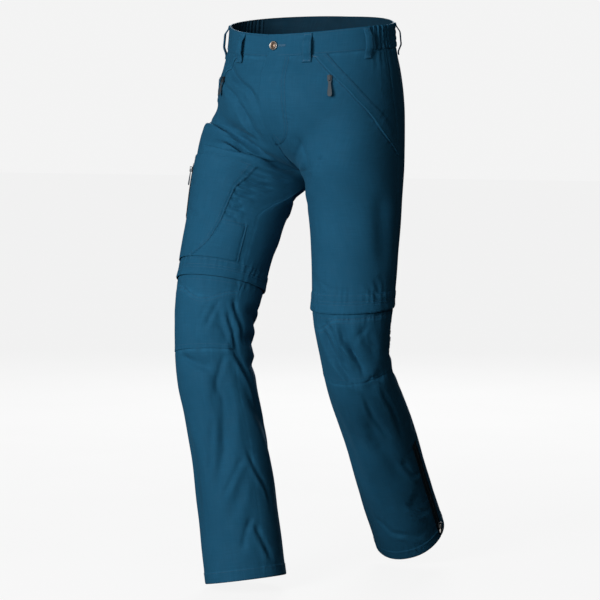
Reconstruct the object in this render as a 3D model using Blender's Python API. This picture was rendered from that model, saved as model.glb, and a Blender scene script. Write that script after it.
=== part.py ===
"""Zip-off hiking trousers, filled out as worn in a walking pose, with no wearer.

Metres, +Z up. The wearer faces -Y, so the wearer's left is +X. The origin is the centre of the
waist, level with the top edge of the waistband at the side seams.

A point of the cloth is named by its side, by u and by q. u runs round one half of the garment,
from 0 at the centre front (the inseam below the crotch) through 0.5 at the side seam to 1 at the
centre back (the inseam again). q is the way down the cloth from the top of the waist.
"""
from collections import namedtuple
from math import pi, radians

import bmesh
import bpy
import numpy as np
from mathutils import Vector

# Driving sizes
WAISTBAND = 0.043
CROTCH = 0.265
KNEE = 0.600
HEM = 1.038
ZIP_OFF = {"right": 0.500, "left": 0.512}
FLAP_HEIGHT = 0.032
COIL_HEIGHT = 0.010
KNEE_SEAM_TOP = 0.519
KNEE_SEAM_DIP = 0.020
KNEE_SEAM_LOW = 0.625
FRONT_DIP = 0.018
BACK_RISE = 0.022
CLOTH = 0.0012
BAND_CLOTH = 0.0024
BAND_PROUD = 0.0008
SEAM = 0.0003
LIE = 0.0004
LIE_ACROSS = 0.0008

# The two joints that the worn shape is bent at, on the wearer's left
HIP_JOINT = np.array((0.095, 0.010, -0.130))
KNEE_JOINT = np.array((0.100, 0.010, -KNEE))

Hip = namedtuple("Hip", "q half_width front back square")
HIPS = (
    Hip(0.000, 0.164, 0.120, 0.125, 1.00),
    Hip(0.043, 0.168, 0.125, 0.128, 1.00),
    Hip(0.090, 0.176, 0.143, 0.136, 0.97),
    Hip(0.140, 0.179, 0.146, 0.141, 0.95),
    Hip(0.190, 0.179, 0.142, 0.141, 0.94),
    Hip(0.265, 0.177, 0.136, 0.136, 0.94),
)

Leg = namedtuple("Leg", "q centre_x centre_y half_width front back")
LEGS = {
    "right": (
        Leg(0.080, 0.0890, 0.012, 0.0890, 0.130, 0.132),
        Leg(0.265, 0.0945, 0.004, 0.0940, 0.114, 0.112),
        Leg(0.330, 0.1060, -0.002, 0.0850, 0.098, 0.095),
        Leg(0.420, 0.1080, -0.004, 0.0790, 0.086, 0.086),
        Leg(0.500, 0.1030, -0.002, 0.0750, 0.080, 0.080),
        Leg(0.600, 0.0980, 0.000, 0.0700, 0.074, 0.072),
        Leg(0.700, 0.0970, 0.002, 0.0690, 0.073, 0.072),
        Leg(0.800, 0.0990, 0.006, 0.0690, 0.073, 0.073),
        Leg(0.920, 0.1010, 0.008, 0.0690, 0.074, 0.074),
        Leg(1.060, 0.1020, 0.008, 0.0710, 0.075, 0.076),
    ),
    "left": (
        Leg(0.080, 0.0890, 0.012, 0.0890, 0.130, 0.132),
        Leg(0.265, 0.0900, 0.008, 0.0895, 0.114, 0.114),
        Leg(0.330, 0.0960, 0.006, 0.0840, 0.096, 0.096),
        Leg(0.420, 0.0980, 0.004, 0.0780, 0.086, 0.086),
        Leg(0.500, 0.1000, 0.002, 0.0740, 0.079, 0.079),
        Leg(0.600, 0.1020, 0.002, 0.0640, 0.066, 0.066),
        Leg(0.700, 0.1010, 0.004, 0.0640, 0.067, 0.068),
        Leg(0.800, 0.0980, 0.004, 0.0660, 0.070, 0.070),
        Leg(0.920, 0.0960, 0.004, 0.0670, 0.072, 0.072),
        Leg(1.060, 0.0960, 0.004, 0.0670, 0.074, 0.073),
    ),
}

# Degrees: how far each leg is bent, spread and turned out at the hip and at the knee
Pose = namedtuple("Pose", "hip_bend hip_spread hip_turn knee_bend knee_spread knee_turn knee_reach")
POSES = {
    "right": Pose(20.0, -4.5, 24.0, 20.0, -3.0, -2.0, 0.22),
    "left": Pose(1.0, 0.0, 10.0, 35.0, 1.0, 0.0, 0.18),
}

# The largest folds: a soft trough (depth below 0) or ridge from (u0, q0) to (u1, q1), bowed
# sideways by bow at its middle; bow, width and depth are in metres
Fold = namedtuple("Fold", "side u0 q0 u1 q1 bow width depth")
FOLDS = (
    Fold("right", 0.235, 0.060, 0.030, 0.160, 0.006, 0.016, -0.0045),
    Fold("right", 0.190, 0.108, 0.045, 0.212, 0.004, 0.015, -0.0040),
    Fold("right", 0.300, 0.186, 0.030, 0.224, 0.008, 0.017, -0.0070),
    Fold("right", 0.175, 0.212, 0.030, 0.270, 0.006, 0.016, -0.0080),
    Fold("right", 0.330, 0.215, 0.190, 0.196, 0.000, 0.018, 0.0040),
    Fold("right", 0.200, 0.240, 0.040, 0.310, 0.006, 0.018, 0.0035),
    Fold("right", 0.080, 0.300, 0.035, 0.400, 0.000, 0.016, -0.0035),
    Fold("right", 0.260, 0.640, 0.085, 0.662, 0.004, 0.015, -0.0050),
    Fold("right", 0.060, 0.640, 0.165, 0.880, 0.010, 0.018, -0.0055),
    Fold("right", 0.150, 0.540, 0.110, 0.610, 0.000, 0.020, 0.0025),
    Fold("right", 0.960, 0.700, 0.800, 0.860, 0.010, 0.019, -0.0050),
    Fold("right", 0.955, 0.545, 0.760, 0.590, 0.006, 0.016, -0.0055),
    Fold("right", 0.955, 0.600, 0.700, 0.628, 0.006, 0.016, -0.0060),
    Fold("right", 0.930, 0.648, 0.640, 0.660, 0.004, 0.017, -0.0050),
    Fold("right", 0.340, 0.700, 0.280, 0.930, 0.008, 0.020, -0.0040),
    Fold("right", 0.620, 0.740, 0.700, 0.960, 0.006, 0.020, -0.0045),
    Fold("right", 0.950, 0.290, 0.720, 0.330, 0.010, 0.020, -0.0060),
    Fold("right", 0.940, 0.240, 0.700, 0.265, 0.010, 0.020, -0.0050),
    Fold("right", 0.650, 0.360, 0.600, 0.460, 0.004, 0.020, -0.0035),
    Fold("left", 0.180, 0.524, 0.325, 0.625, 0.006, 0.015, -0.0055),
    Fold("left", 0.275, 0.522, 0.375, 0.618, 0.004, 0.014, -0.0050),
    Fold("left", 0.350, 0.530, 0.425, 0.590, 0.002, 0.014, -0.0040),
    Fold("left", 0.345, 0.640, 0.470, 0.622, 0.000, 0.014, -0.0045),
    Fold("left", 0.560, 0.560, 0.860, 0.548, 0.006, 0.016, -0.0055),
    Fold("left", 0.540, 0.600, 0.880, 0.590, 0.006, 0.016, -0.0065),
    Fold("left", 0.560, 0.640, 0.860, 0.640, 0.006, 0.016, -0.0060),
    Fold("left", 0.600, 0.678, 0.840, 0.690, 0.004, 0.017, -0.0045),
    Fold("left", 0.330, 0.665, 0.400, 0.880, 0.008, 0.020, -0.0045),
    Fold("left", 0.150, 0.650, 0.190, 0.860, 0.006, 0.020, -0.0040),
    Fold("left", 0.700, 0.740, 0.620, 0.960, 0.008, 0.020, -0.0045),
    Fold("left", 0.040, 0.255, 0.150, 0.205, 0.004, 0.018, -0.0040),
    Fold("left", 0.040, 0.290, 0.190, 0.262, 0.006, 0.019, -0.0045),
    Fold("left", 0.950, 0.285, 0.700, 0.300, 0.010, 0.020, -0.0060),
    Fold("left", 0.940, 0.235, 0.700, 0.245, 0.010, 0.020, -0.0045),
    Fold("left", 0.420, 0.300, 0.450, 0.440, 0.004, 0.022, -0.0035),
)
PINNED = 0.018

# Pattern lines on the cloth
Line = namedtuple("Line", "q u")
SLANT = (
    Line(0.043, 0.166),
    Line(0.086, 0.240),
    Line(0.108, 0.280),
    Line(0.141, 0.343),
    Line(0.154, 0.368),
    Line(0.196, 0.430),
    Line(0.225, 0.484),
    Line(0.234, 0.4965),
)
POCKET_EDGE = (
    Line(0.270, 0.118),
    Line(0.324, 0.092),
    Line(0.365, 0.104),
    Line(0.419, 0.130),
    Line(0.444, 0.155),
    Line(0.468, 0.215),
)
SIDE = 0.5
WELT_WIDTH = 0.050
POCKET_TOP = 0.277
POCKET_BACK = 0.485
PATCH_TOP = 0.396
PATCH_INNER = 0.026
FLY_EDGE = -0.012
FLY_STITCH = 0.080
FLY_BOTTOM = 0.214
FLY_TURN = 0.180

# Waistband
ELASTIC_START = 0.403
ELASTIC_END = 0.643
ELASTIC_WAVES = 11
ELASTIC_DEPTH = 0.0012
LOOP_PLACES = (0.145, -0.145, 0.384, -0.384, 0.662, -0.662, 1.0)
LOOP_NAMES = ("front_left", "front_right", "side_left", "side_right", "hip_left", "hip_right", "back")
LOOP_WIDTH = 0.015
LOOP_CLOTH = 0.0014
LOOP_TOP = 0.0015
LOOP_BOTTOM = 0.0590
LOOP_STAND = 0.0090
BUTTON_AT = (0.014, 0.0215)
BUTTON_RADIUS = 0.0085

# Zips
THIGH_ZIP = (0.318, 0.290, 0.390)
THIGH_ZIP_WIDTH = 0.012
ANKLE_ZIP = (0.805, 1.028)
ANKLE_ZIP_WIDTH = 0.016
ANKLE_SLIDER = 1.010
ZIP_CLOTH = 0.0010

# Grid steps of the cloth
COLUMNS = 14
HIP_ROWS = 9
THIGH_ROWS = 9
KNEE_ROWS = 5
SHIN_ROWS = 13

PETROL = (0.016, 0.088, 0.165)
PETROL_DARK = (0.010, 0.055, 0.100)
ZIP_DARK = (0.010, 0.018, 0.025)
METAL = (0.62, 0.58, 0.54)
GREY = (0.14, 0.17, 0.19)


def smooth(t):
    t = np.clip(t, 0.0, 1.0)
    return t * t * (3.0 - 2.0 * t)


def spline(rows, q):
    """Each named column after the first, read smoothly at q."""
    table = np.array(rows)
    x = table[:, 0]
    i = np.clip(np.searchsorted(x, q) - 1, 0, len(x) - 2)
    step = x[i + 1] - x[i]
    t = np.clip((q - x[i]) / step, 0.0, 1.0)
    values = []
    for column in range(1, table.shape[1]):
        y = table[:, column]
        slope = np.gradient(y, x)
        start = (2 * t ** 3 - 3 * t ** 2 + 1) * y[i] + (t ** 3 - 2 * t ** 2 + t) * step * slope[i]
        end = (3 * t ** 2 - 2 * t ** 3) * y[i + 1] + (t ** 3 - t ** 2) * step * slope[i + 1]
        values.append(start + end)
    return values


def rotate(points, joint, degrees, share):
    """Turn points about a joint by a share of a rotation vector about X, Y and Z."""
    turn = np.stack([share * radians(angle) for angle in degrees], -1)
    angle = np.linalg.norm(turn, axis=-1, keepdims=True)
    axis = turn / np.maximum(angle, 1e-9)
    arm = points - joint
    along = axis * (axis * arm).sum(-1, keepdims=True)
    return joint + arm * np.cos(angle) + np.cross(axis, arm) * np.sin(angle) + along * (1 - np.cos(angle))


def standing(side, u, q):
    """The left half of the garment with its leg straight down."""
    half_width, front, back, square = spline(HIPS, np.minimum(q, CROTCH))
    angle = (u - 0.5) * pi
    depth = np.where(angle < 0, front, back)
    hip_x = half_width * np.abs(np.cos(angle)) ** square
    hip_y = depth * np.sign(np.sin(angle)) * np.abs(np.sin(angle)) ** square
    centre_x, centre_y, half_width, front, back = spline(LEGS[side], q)
    round_leg = (u - 0.5) * 2 * pi
    depth = np.where(round_leg < 0, front, back)
    leg_x = centre_x + half_width * np.cos(round_leg)
    leg_y = centre_y + depth * np.sin(round_leg)
    # The rise is longer behind, so the blend from hips to leg starts higher there; it is a round
    # arch along the crotch seam and softer towards the side
    behind = smooth((u - 0.1) / 0.8)
    start = 0.120 * (1 - behind) + 0.075 * behind
    reach = np.clip((q - start) / (CROTCH - start), 0.0, 1.0)
    outer = smooth((np.minimum(u, 1 - u) - 0.08) / 0.25)
    blend = (1 - np.sqrt(1 - reach * reach)) * (1 - outer) + smooth(reach) * outer
    x = hip_x * (1 - blend) + leg_x * blend
    y = hip_y * (1 - blend) + leg_y * blend
    tilt = BACK_RISE * 0.5 * (1 + np.sin(angle)) - FRONT_DIP * 0.5 * (1 - np.sin(angle))
    z = -q + tilt * (1 - smooth(q / 0.16))
    return np.stack([np.maximum(x, SEAM / 2), y, z], -1)


def posed(side, u, q):
    """The garment's smooth outer surface in the walking pose."""
    u, q = np.broadcast_arrays(np.asarray(u, float), np.asarray(q, float))
    pose = POSES[side]
    points = standing(side, u, q)
    share = smooth((q - KNEE + pose.knee_reach) / (2 * pose.knee_reach))
    points = rotate(points, KNEE_JOINT, (pose.knee_bend, -pose.knee_spread, pose.knee_turn), share)
    groin = 0.325 - 0.175 * np.sin(pi * u) ** 1.2
    reach = 0.055 + 0.030 * smooth((u - 0.4) / 0.3) * smooth((1 - u) / 0.25)
    share = smooth((q - groin) / (2 * reach) + 0.5)
    points = rotate(points, HIP_JOINT, (-pose.hip_bend, -pose.hip_spread, pose.hip_turn), share)
    inside = (q < CROTCH + 0.015) & (points[..., 0] < SEAM / 2)
    points[..., 0] = np.where(inside, SEAM / 2, points[..., 0])
    if side == "right":
        points = points * np.array((-1.0, 1.0, 1.0))
    return points


def normals(side, u, q):
    """Unit vectors out of the cloth."""
    across = posed(side, np.minimum(u + 0.004, 1.0), q) - posed(side, np.maximum(u - 0.004, 0.0), q)
    down = posed(side, u, q + 0.003) - posed(side, u, q - 0.003)
    out = np.cross(down, across) if side == "left" else np.cross(across, down)
    return out / np.linalg.norm(out, axis=-1, keepdims=True)


def half_girth(q):
    """How far it is round one half of the garment, for measuring along u."""
    return np.interp(q, (0.0, 0.14, 0.27, 0.42, 0.60, HEM), (0.46, 0.52, 0.62, 0.52, 0.44, 0.45))


def relief(side, u, q):
    """Height of the folds over the smooth surface."""
    across = (u - 0.5) * half_girth(q)
    height = np.zeros_like(across)
    for fold in FOLDS:
        if fold.side != side:
            continue
        start = np.array(((fold.u0 - 0.5) * half_girth(fold.q0), fold.q0))
        end = np.array(((fold.u1 - 0.5) * half_girth(fold.q1), fold.q1))
        length = np.linalg.norm(end - start)
        way = (end - start) / length
        along = ((across - start[0]) * way[0] + (q - start[1]) * way[1]) / length
        bow = 4 * fold.bow * along * (1 - along)
        off = (q - start[1]) * way[0] - (across - start[0]) * way[1] - bow
        ends = smooth(along / 0.35 + 0.25) * smooth((1 - along) / 0.35 + 0.25)
        shape = (1 - 0.6 * (off / fold.width) ** 2) * np.exp(-0.8 * (off / fold.width) ** 2)
        height += fold.depth * shape * ends
    seam = np.minimum(u, 1 - u) * half_girth(q)
    return height * smooth(seam / PINNED) * smooth((q - WAISTBAND) / 0.02)


def cloth(side, u, q, out=0.0):
    """Points of the cloth, moved out of it by out."""
    u, q = np.broadcast_arrays(np.asarray(u, float), np.asarray(q, float))
    lift = relief(side, u, q) + out
    return posed(side, u, q) + normals(side, u, q) * lift[..., None]


def round_waist(place, q, out=0.0):
    """As cloth, for a signed place round the waist: above 0 on the left, below 0 on the right."""
    place, q, out = np.broadcast_arrays(*(np.asarray(value, float) for value in (place, q, out)))
    left = cloth("left", np.abs(place), q, out)
    right = cloth("right", np.abs(place), q, out)
    return np.where((place >= 0)[..., None], left, right)


def width_in_u(side, u, q, metres):
    """What a width measured along the cloth is as a step of u."""
    step = 0.01
    way = posed(side, min(u + step, 1.0), q) - posed(side, max(u - step, 0.0), q)
    return metres / (np.linalg.norm(way) / (min(u + step, 1.0) - max(u - step, 0.0)))


def material(name, colour, roughness, metallic=0.0):
    found = bpy.data.materials.get(name)
    if found:
        return found
    made = bpy.data.materials.new(name)
    made.use_nodes = True
    shader = made.node_tree.nodes["Principled BSDF"]
    shader.inputs["Base Color"].default_value = (*colour, 1.0)
    shader.inputs["Roughness"].default_value = roughness
    shader.inputs["Metallic"].default_value = metallic
    made.diffuse_color = (*colour, 1.0)
    return made


def finish(name, points, faces, look, origin=None):
    """Make one closed object with its faces pointing out."""
    place = Vector(origin) if origin is not None else Vector()
    mesh = bpy.data.meshes.new(name)
    mesh.from_pydata([Vector(point) - place for point in points], [], faces)
    body = bmesh.new()
    body.from_mesh(mesh)
    loose = [vertex for vertex in body.verts if not vertex.link_faces]
    bmesh.ops.delete(body, geom=loose, context="VERTS")
    bmesh.ops.recalc_face_normals(body, faces=body.faces)
    body.to_mesh(mesh)
    body.free()
    mesh.shade_smooth()
    mesh.set_sharp_from_angle(angle=radians(40))
    thing = bpy.data.objects.new(name, mesh)
    thing.location = place
    mesh.materials.append(look)
    bpy.context.scene.collection.objects.link(thing)
    return thing


def slab(name, outer, inner, look, ring=False, filled=None, origin=None):
    """A solid between two grids of points; ring joins its sides, filled says which cells it has."""
    rows, columns = outer.shape[:2]
    across = columns if ring else columns - 1
    if filled is None:
        filled = np.ones((rows - 1, across), bool)
    layer = rows * columns

    def corner(row, column, deep):
        return deep * layer + row * columns + column % columns

    def empty(row, column):
        if ring:
            column %= across
        elif not 0 <= column < across:
            return True
        return not 0 <= row < rows - 1 or not filled[row, column]

    faces = []
    for row, column in zip(*np.nonzero(filled)):
        for deep in (0, 1):
            a, b = corner(row, column, deep), corner(row, column + 1, deep)
            c, d = corner(row + 1, column + 1, deep), corner(row + 1, column, deep)
            faces += [(a, b, c), (a, c, d)]
        edges = (
            (row - 1, column, (row, column), (row, column + 1)),
            (row + 1, column, (row + 1, column), (row + 1, column + 1)),
            (row, column - 1, (row, column), (row + 1, column)),
            (row, column + 1, (row, column + 1), (row + 1, column + 1)),
        )
        for next_row, next_column, start, end in edges:
            if empty(next_row, next_column):
                a, b = corner(*start, 0), corner(*end, 0)
                c, d = corner(*end, 1), corner(*start, 1)
                faces += [(a, b, c), (a, c, d)]
    points = np.concatenate([outer.reshape(-1, 3), inner.reshape(-1, 3)])
    return finish(name, points, faces, look, origin)


Panel = namedtuple("Panel", "side u q points out")


def panel(name, side, u, q, look=None):
    """A cloth piece over a grid of u and q, a wall of the cloth's thickness."""
    u, q = np.broadcast_arrays(u, q)
    points = cloth(side, u, q)
    out = normals(side, u, q)
    slab(name, points, points - out * CLOTH, look or fabric())
    return Panel(side, u, q, points, out)


def on_panel(base, u, q, out):
    """Points over a panel's own facets, moved out of them; its rows must each keep one q."""
    u, q = np.broadcast_arrays(u, q)
    levels = base.q[:, 0]
    row = np.clip(np.searchsorted(levels, q, side="right") - 1, 0, len(levels) - 2)
    t = (q - levels[row]) / (levels[row + 1] - levels[row])
    out = np.broadcast_to(out, u.shape)
    points = np.empty(u.shape + (3,))
    for index in np.ndindex(u.shape):
        r, down = row[index], t[index]
        line = base.u[r] * (1 - down) + base.u[r + 1] * down
        c = int(np.clip(np.searchsorted(line, u[index], side="right") - 1, 0, len(line) - 2))
        s = (u[index] - line[c]) / (line[c + 1] - line[c])
        source = base.points[r:r + 2, c:c + 2] + base.out[r:r + 2, c:c + 2] * out[index]
        (a, b), (d, e) = source
        if s >= down:
            points[index] = a + s * (b - a) + down * (e - b)
        else:
            points[index] = a + down * (d - a) + s * (e - d)
    return points


def overlay(name, base, u, q, look, lie=LIE, thick=CLOTH):
    """A piece lying on a panel, worked out from the panel's own facets."""
    slab(name, on_panel(base, u, q, lie + thick), on_panel(base, u, q, lie), look)


def fabric():
    return material("cloth", PETROL, 0.85)


def dark_fabric():
    return material("cloth_elastic", PETROL_DARK, 0.9)


def zip_tape():
    return material("zip_tape", ZIP_DARK, 0.7)


def metal():
    return material("button_metal", METAL, 0.3, 1.0)


def moulded():
    return material("pull_grey", GREY, 0.5)


def levels(start, end, count):
    return np.linspace(start, end, count + 1)


def lines(start, end, count):
    return np.linspace(0.0, 1.0, count + 1) * (end - start) + start


def gap_u(q):
    """Half a seam's gap as a step of u."""
    return SEAM / 2 / half_girth(q)


def upper_rows(side):
    """Levels shared by the pieces between the waistband and the zip-off line."""
    end = ZIP_OFF[side] - COIL_HEIGHT - SEAM
    top = levels(WAISTBAND + SEAM, SLANT[-1].q, HIP_ROWS)
    crotch = levels(SLANT[-1].q + 0.004, CROTCH, 2)
    thigh = levels(CROTCH, ZIP_OFF[side] - FLAP_HEIGHT, THIGH_ROWS)[1:]
    return np.concatenate([top, crotch, thigh, [end]])


def slant_line(q):
    return spline(SLANT, q)[0]


def upper_pieces(side):
    """Front, side front and back, from the waistband to the zip-off line."""
    q = upper_rows(side)
    gap = gap_u(q)
    below = q > SLANT[-1].q + 0.001
    edge = np.where(below, SIDE, slant_line(np.minimum(q, SLANT[-1].q))) - gap
    inseam = np.where(q >= CROTCH, gap, 0.0)
    t = np.linspace(0.0, 1.0, COLUMNS + 1)
    u = inseam[:, None] + t * (edge - inseam)[:, None]
    front = panel("front_" + side, side, u, q[:, None])
    back_u = (SIDE + gap)[:, None] + t * (1 - SIDE - gap - inseam)[:, None]
    panel("back_" + side, side, back_u, q[:, None])

    q = q[~below]
    start = slant_line(q) + gap_u(q)
    end = SIDE - gap_u(q)
    welt = np.minimum(start + WELT_WIDTH, start + 0.6 * (end - start))
    s = np.linspace(0.0, 1.0, 6)
    rest = welt[:, None] + s * (end - welt)[:, None]
    u = np.concatenate([start[:, None], (start + welt)[:, None] / 2, rest], axis=1)
    side_front = panel("side_front_" + side, side, u, q[:, None])
    overlay("pocket_welt_" + side, side_front, u[:, :3], q[:, None], fabric())
    return front


def zip_off_pieces(side):
    """The coil ring that joins thigh and lower leg, and the flap that covers it."""
    end = ZIP_OFF[side]
    u = np.linspace(0.0, 1.0, 2 * COLUMNS + 1)[:-1]
    q = np.array((end - COIL_HEIGHT, end - SEAM))[:, None]
    outer = cloth(side, u, q)
    slab("zip_ring_" + side, outer, outer - normals(side, *np.broadcast_arrays(u, q)) * CLOTH, zip_tape(), ring=True)
    q = np.array((end - FLAP_HEIGHT, end - COIL_HEIGHT - SEAM, end))[:, None]
    slab("zip_flap_" + side, cloth(side, u, q, LIE + CLOTH), cloth(side, u, q, LIE), fabric(), ring=True)


def lower_pieces(side):
    """Knee top, knee, shin and calf, which zip off together."""
    top = ZIP_OFF[side]
    knee = levels(KNEE_SEAM_TOP, KNEE_SEAM_LOW, KNEE_ROWS)
    shin = levels(KNEE_SEAM_LOW + SEAM, HEM, SHIN_ROWS)
    gap = gap_u(0.6)
    u = lines(gap, SIDE - gap, COLUMNS)
    dip = KNEE_SEAM_DIP * smooth(u / 0.14) * smooth((0.26 - u) / 0.12)
    seam = KNEE_SEAM_TOP + dip
    panel("knee_top_" + side, side, u, np.stack([np.full_like(u, top), (top + seam) / 2, seam - SEAM]))
    t = ((knee - knee[0]) / (knee[-1] - knee[0]))[:, None]
    panel("knee_" + side, side, u, seam + t * (KNEE_SEAM_LOW - seam))
    panel("shin_" + side, side, u, shin[:, None])
    behind = np.concatenate([[top, (top + knee[0]) / 2], knee[:-1], shin])
    panel("calf_" + side, side, lines(SIDE + gap, 1 - gap, COLUMNS), behind[:, None])
    ankle_zip(side)


def ankle_zip(side):
    """A zip strip over the lower end of the side seam, on shin and calf."""
    rows = levels(KNEE_SEAM_LOW + SEAM, HEM, SHIN_ROWS)
    q = np.concatenate([[ANKLE_ZIP[0]], rows[(rows > ANKLE_ZIP[0]) & (rows < ANKLE_ZIP[1])], [ANKLE_ZIP[1]]])
    half = width_in_u(side, SIDE, 0.95, ANKLE_ZIP_WIDTH / 2)
    u = SIDE + np.array((-half, 0.0, half))
    q = q[:, None]
    slab("ankle_zip_" + side, cloth(side, u, q, 0.0007 + ZIP_CLOTH), cloth(side, u, q, 0.0007), zip_tape())


def fly(base_left, base_right):
    """The left front's edge, one layer proud, from its free edge to the curved stitching."""
    rows = base_left.q[:, 0]
    q = np.concatenate([rows[rows < FLY_BOTTOM - 0.0005], [FLY_BOTTOM]])
    turn = np.clip((q - FLY_TURN) / (FLY_BOTTOM - FLY_TURN), 0.0, 1.0)
    reach = 0.012 + (FLY_STITCH - 0.012) * np.sqrt(1 - 0.94 * turn ** 2)
    on_left = np.array((0.0, 0.2, 0.4, 0.6, 0.8, 1.0)) * reach[:, None]
    on_right = np.full((len(q), 1), -FLY_EDGE)
    faces = []
    lift = LIE_ACROSS * (1 + turn)[:, None]
    for out in (lift + CLOTH, lift):
        over_right = on_panel(base_right, on_right, q[:, None], out)
        over_left = on_panel(base_left, on_left, q[:, None], out)
        faces.append(np.concatenate([over_right, over_left], axis=1))
    slab("fly", *faces, fabric())


def thigh_pocket(base):
    """The zipped pocket on the right thigh, its lower inset and its zip."""
    end = ZIP_OFF["right"] - FLAP_HEIGHT - 2 * SEAM
    rows = base.q[:, 0]

    def rows_between(top):
        kept = rows[(rows > top + 0.005) & (rows < end - 0.005)]
        return np.concatenate([[top], kept, [(kept[-1] + end) / 2, end]])

    def edge(q):
        return spline(POCKET_EDGE, q)[0]

    def lift(q):
        return (LIE_ACROSS * (1 + smooth((q - 0.36) / 0.04)))[:, None]

    grid = base.u[-1]
    q = rows_between(POCKET_TOP)
    kept = grid[(grid > POCKET_EDGE[1].u + 0.004) & (grid < POCKET_BACK - 0.01)]
    columns = np.concatenate([[0.0], kept, [POCKET_BACK]])
    step = np.arange(len(columns)) * 0.004
    u = np.maximum(columns, edge(q)[:, None] + step)
    overlay("thigh_pocket", base, u, q[:, None], fabric(), lie=lift(q))

    q = rows_between(PATCH_TOP)
    kept = grid[(grid > PATCH_INNER + 0.006) & (grid < edge(end) - 0.004)]
    columns = np.concatenate([[PATCH_INNER], kept, [1.0]])
    step = np.arange(len(columns))[::-1] * 0.004
    u = np.minimum(columns, (edge(q) - 0.0015)[:, None] - step)
    overlay("thigh_patch", base, u, q[:, None], fabric(), lie=lift(q))

    place, start, stop = THIGH_ZIP
    place = grid[np.abs(grid - place).argmin()]
    half = width_in_u("right", place, start, THIGH_ZIP_WIDTH / 2)
    q = np.concatenate([[start], rows[(rows > start) & (rows < stop)], [stop]])
    u = place + np.array((-half, 0.0, half))
    overlay("thigh_zip", base, u, q[:, None], zip_tape(), lie=LIE_ACROSS + CLOTH + 2 * SEAM, thick=ZIP_CLOTH)


def waistband():
    """The band in five pieces: two plain fronts, two gathered sides and the plain back."""
    q = levels(0.0, WAISTBAND, 2)[:, None]
    gap = gap_u(0.0) * 1.1
    pieces = {
        "front_left": lines(FLY_EDGE + gap, ELASTIC_START - gap, 12),
        "front_right": lines(FLY_EDGE - gap, gap - ELASTIC_START, 11),
        "elastic_left": lines(ELASTIC_START + gap, ELASTIC_END - gap, 4 * ELASTIC_WAVES),
        "elastic_right": lines(-ELASTIC_START - gap, gap - ELASTIC_END, 4 * ELASTIC_WAVES),
        "back": np.concatenate([lines(ELASTIC_END + gap, 1.0, 7), lines(-0.95, -ELASTIC_END - gap, 6)]),
    }
    for name, place in pieces.items():
        wave = np.zeros_like(place)
        if "elastic" in name:
            t = np.linspace(0.0, 1.0, len(place))
            wave = ELASTIC_DEPTH * np.sin(2 * pi * ELASTIC_WAVES * t)
        outer = round_waist(place, q, BAND_PROUD + wave)
        inner = round_waist(place, q, BAND_PROUD + wave - BAND_CLOTH)
        look = dark_fabric() if "elastic" in name else fabric()
        slab("waistband_" + name, outer, inner, look)


def belt_loops():
    """Seven straps that stand off the band, sewn down at both ends."""
    t = np.array((0.0, 0.07, 0.18, 0.34, 0.52, 0.70, 0.84, 0.93, 1.0))
    q = (LOOP_TOP + t * (LOOP_BOTTOM - LOOP_TOP))[:, None]
    arch = smooth((t - 0.03) / 0.30) * smooth((0.95 - t) / 0.30)
    foot = BAND_PROUD + 2 * LIE
    stand = foot + (LOOP_STAND - foot) * arch[:, None]
    for name, place in zip(LOOP_NAMES, LOOP_PLACES):
        half = width_in_u("left", abs(place), 0.02, LOOP_WIDTH / 2)
        across = place + np.array((-half, half))
        across = np.where(across > 1.0, across - 2.0, across)
        outer = round_waist(across, q, stand + LOOP_CLOTH)
        inner = round_waist(across, q, stand)
        slab("belt_loop_" + name, outer, inner, fabric())


Seat = namedtuple("Seat", "point across down out")


def seat(side, u, q, out):
    """A frame on the cloth at a hard piece's place, with down as the way that it hangs."""
    point = cloth(side, u, q, out)
    normal = normals(side, np.array(u), np.array(q))
    down = np.array((0.0, 0.0, -1.0))
    down = down - normal * (down @ normal)
    down /= np.linalg.norm(down)
    return Seat(point, np.cross(down, normal), down, normal)


def place(at, across, down, out):
    """Points at distances along a seat's three ways."""
    across, down, out = np.broadcast_arrays(across, down, out)
    return at.point + across[..., None] * at.across + down[..., None] * at.down + out[..., None] * at.out


SLIDER_HALF = 0.0040
SLIDER_BODY = 0.0018
BRIDGE_HALF = 0.0012
BRIDGE_ROOM = 0.0022
BRIDGE_BAR = 0.0010
PIN_HALF = 0.0007
PIN_HEIGHT = SLIDER_BODY + 0.5 * BRIDGE_ROOM


def slider(name, at):
    """A slider body with the bridge that its pull hangs on."""
    down = np.array((-0.0050, -0.0036, 0.0036, 0.0050))
    out = np.array((0.0, SLIDER_BODY - 0.0001, SLIDER_BODY, SLIDER_BODY + BRIDGE_ROOM,
                    SLIDER_BODY + BRIDGE_ROOM + BRIDGE_BAR))
    half = np.array((SLIDER_HALF, SLIDER_HALF, BRIDGE_HALF, BRIDGE_HALF, BRIDGE_HALF))
    filled = np.array((
        (True, True, True),
        (True, True, True),
        (True, False, True),
        (True, True, True),
    ))
    faces = []
    for sign in (-1, 1):
        faces.append(place(at, sign * half[:, None], down, out[:, None]))
    slab(name, *faces, metal(), filled=filled)


# Half widths and half thicknesses of a pull, at shares of its length below the eye
Pull = namedtuple("Pull", "share half_width half_thickness")
PULL_SHAPE = (
    Pull(0.00, 0.0030, 0.0007),
    Pull(0.15, 0.0022, 0.0008),
    Pull(0.40, 0.0028, 0.0011),
    Pull(0.65, 0.0038, 0.0012),
    Pull(0.85, 0.0040, 0.0012),
    Pull(0.96, 0.0028, 0.0010),
    Pull(1.00, 0.0014, 0.0008),
)
EYE_LENGTH = 0.0062
EYE_HALF = 0.0016
EYE_OUTER = 0.0030


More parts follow.
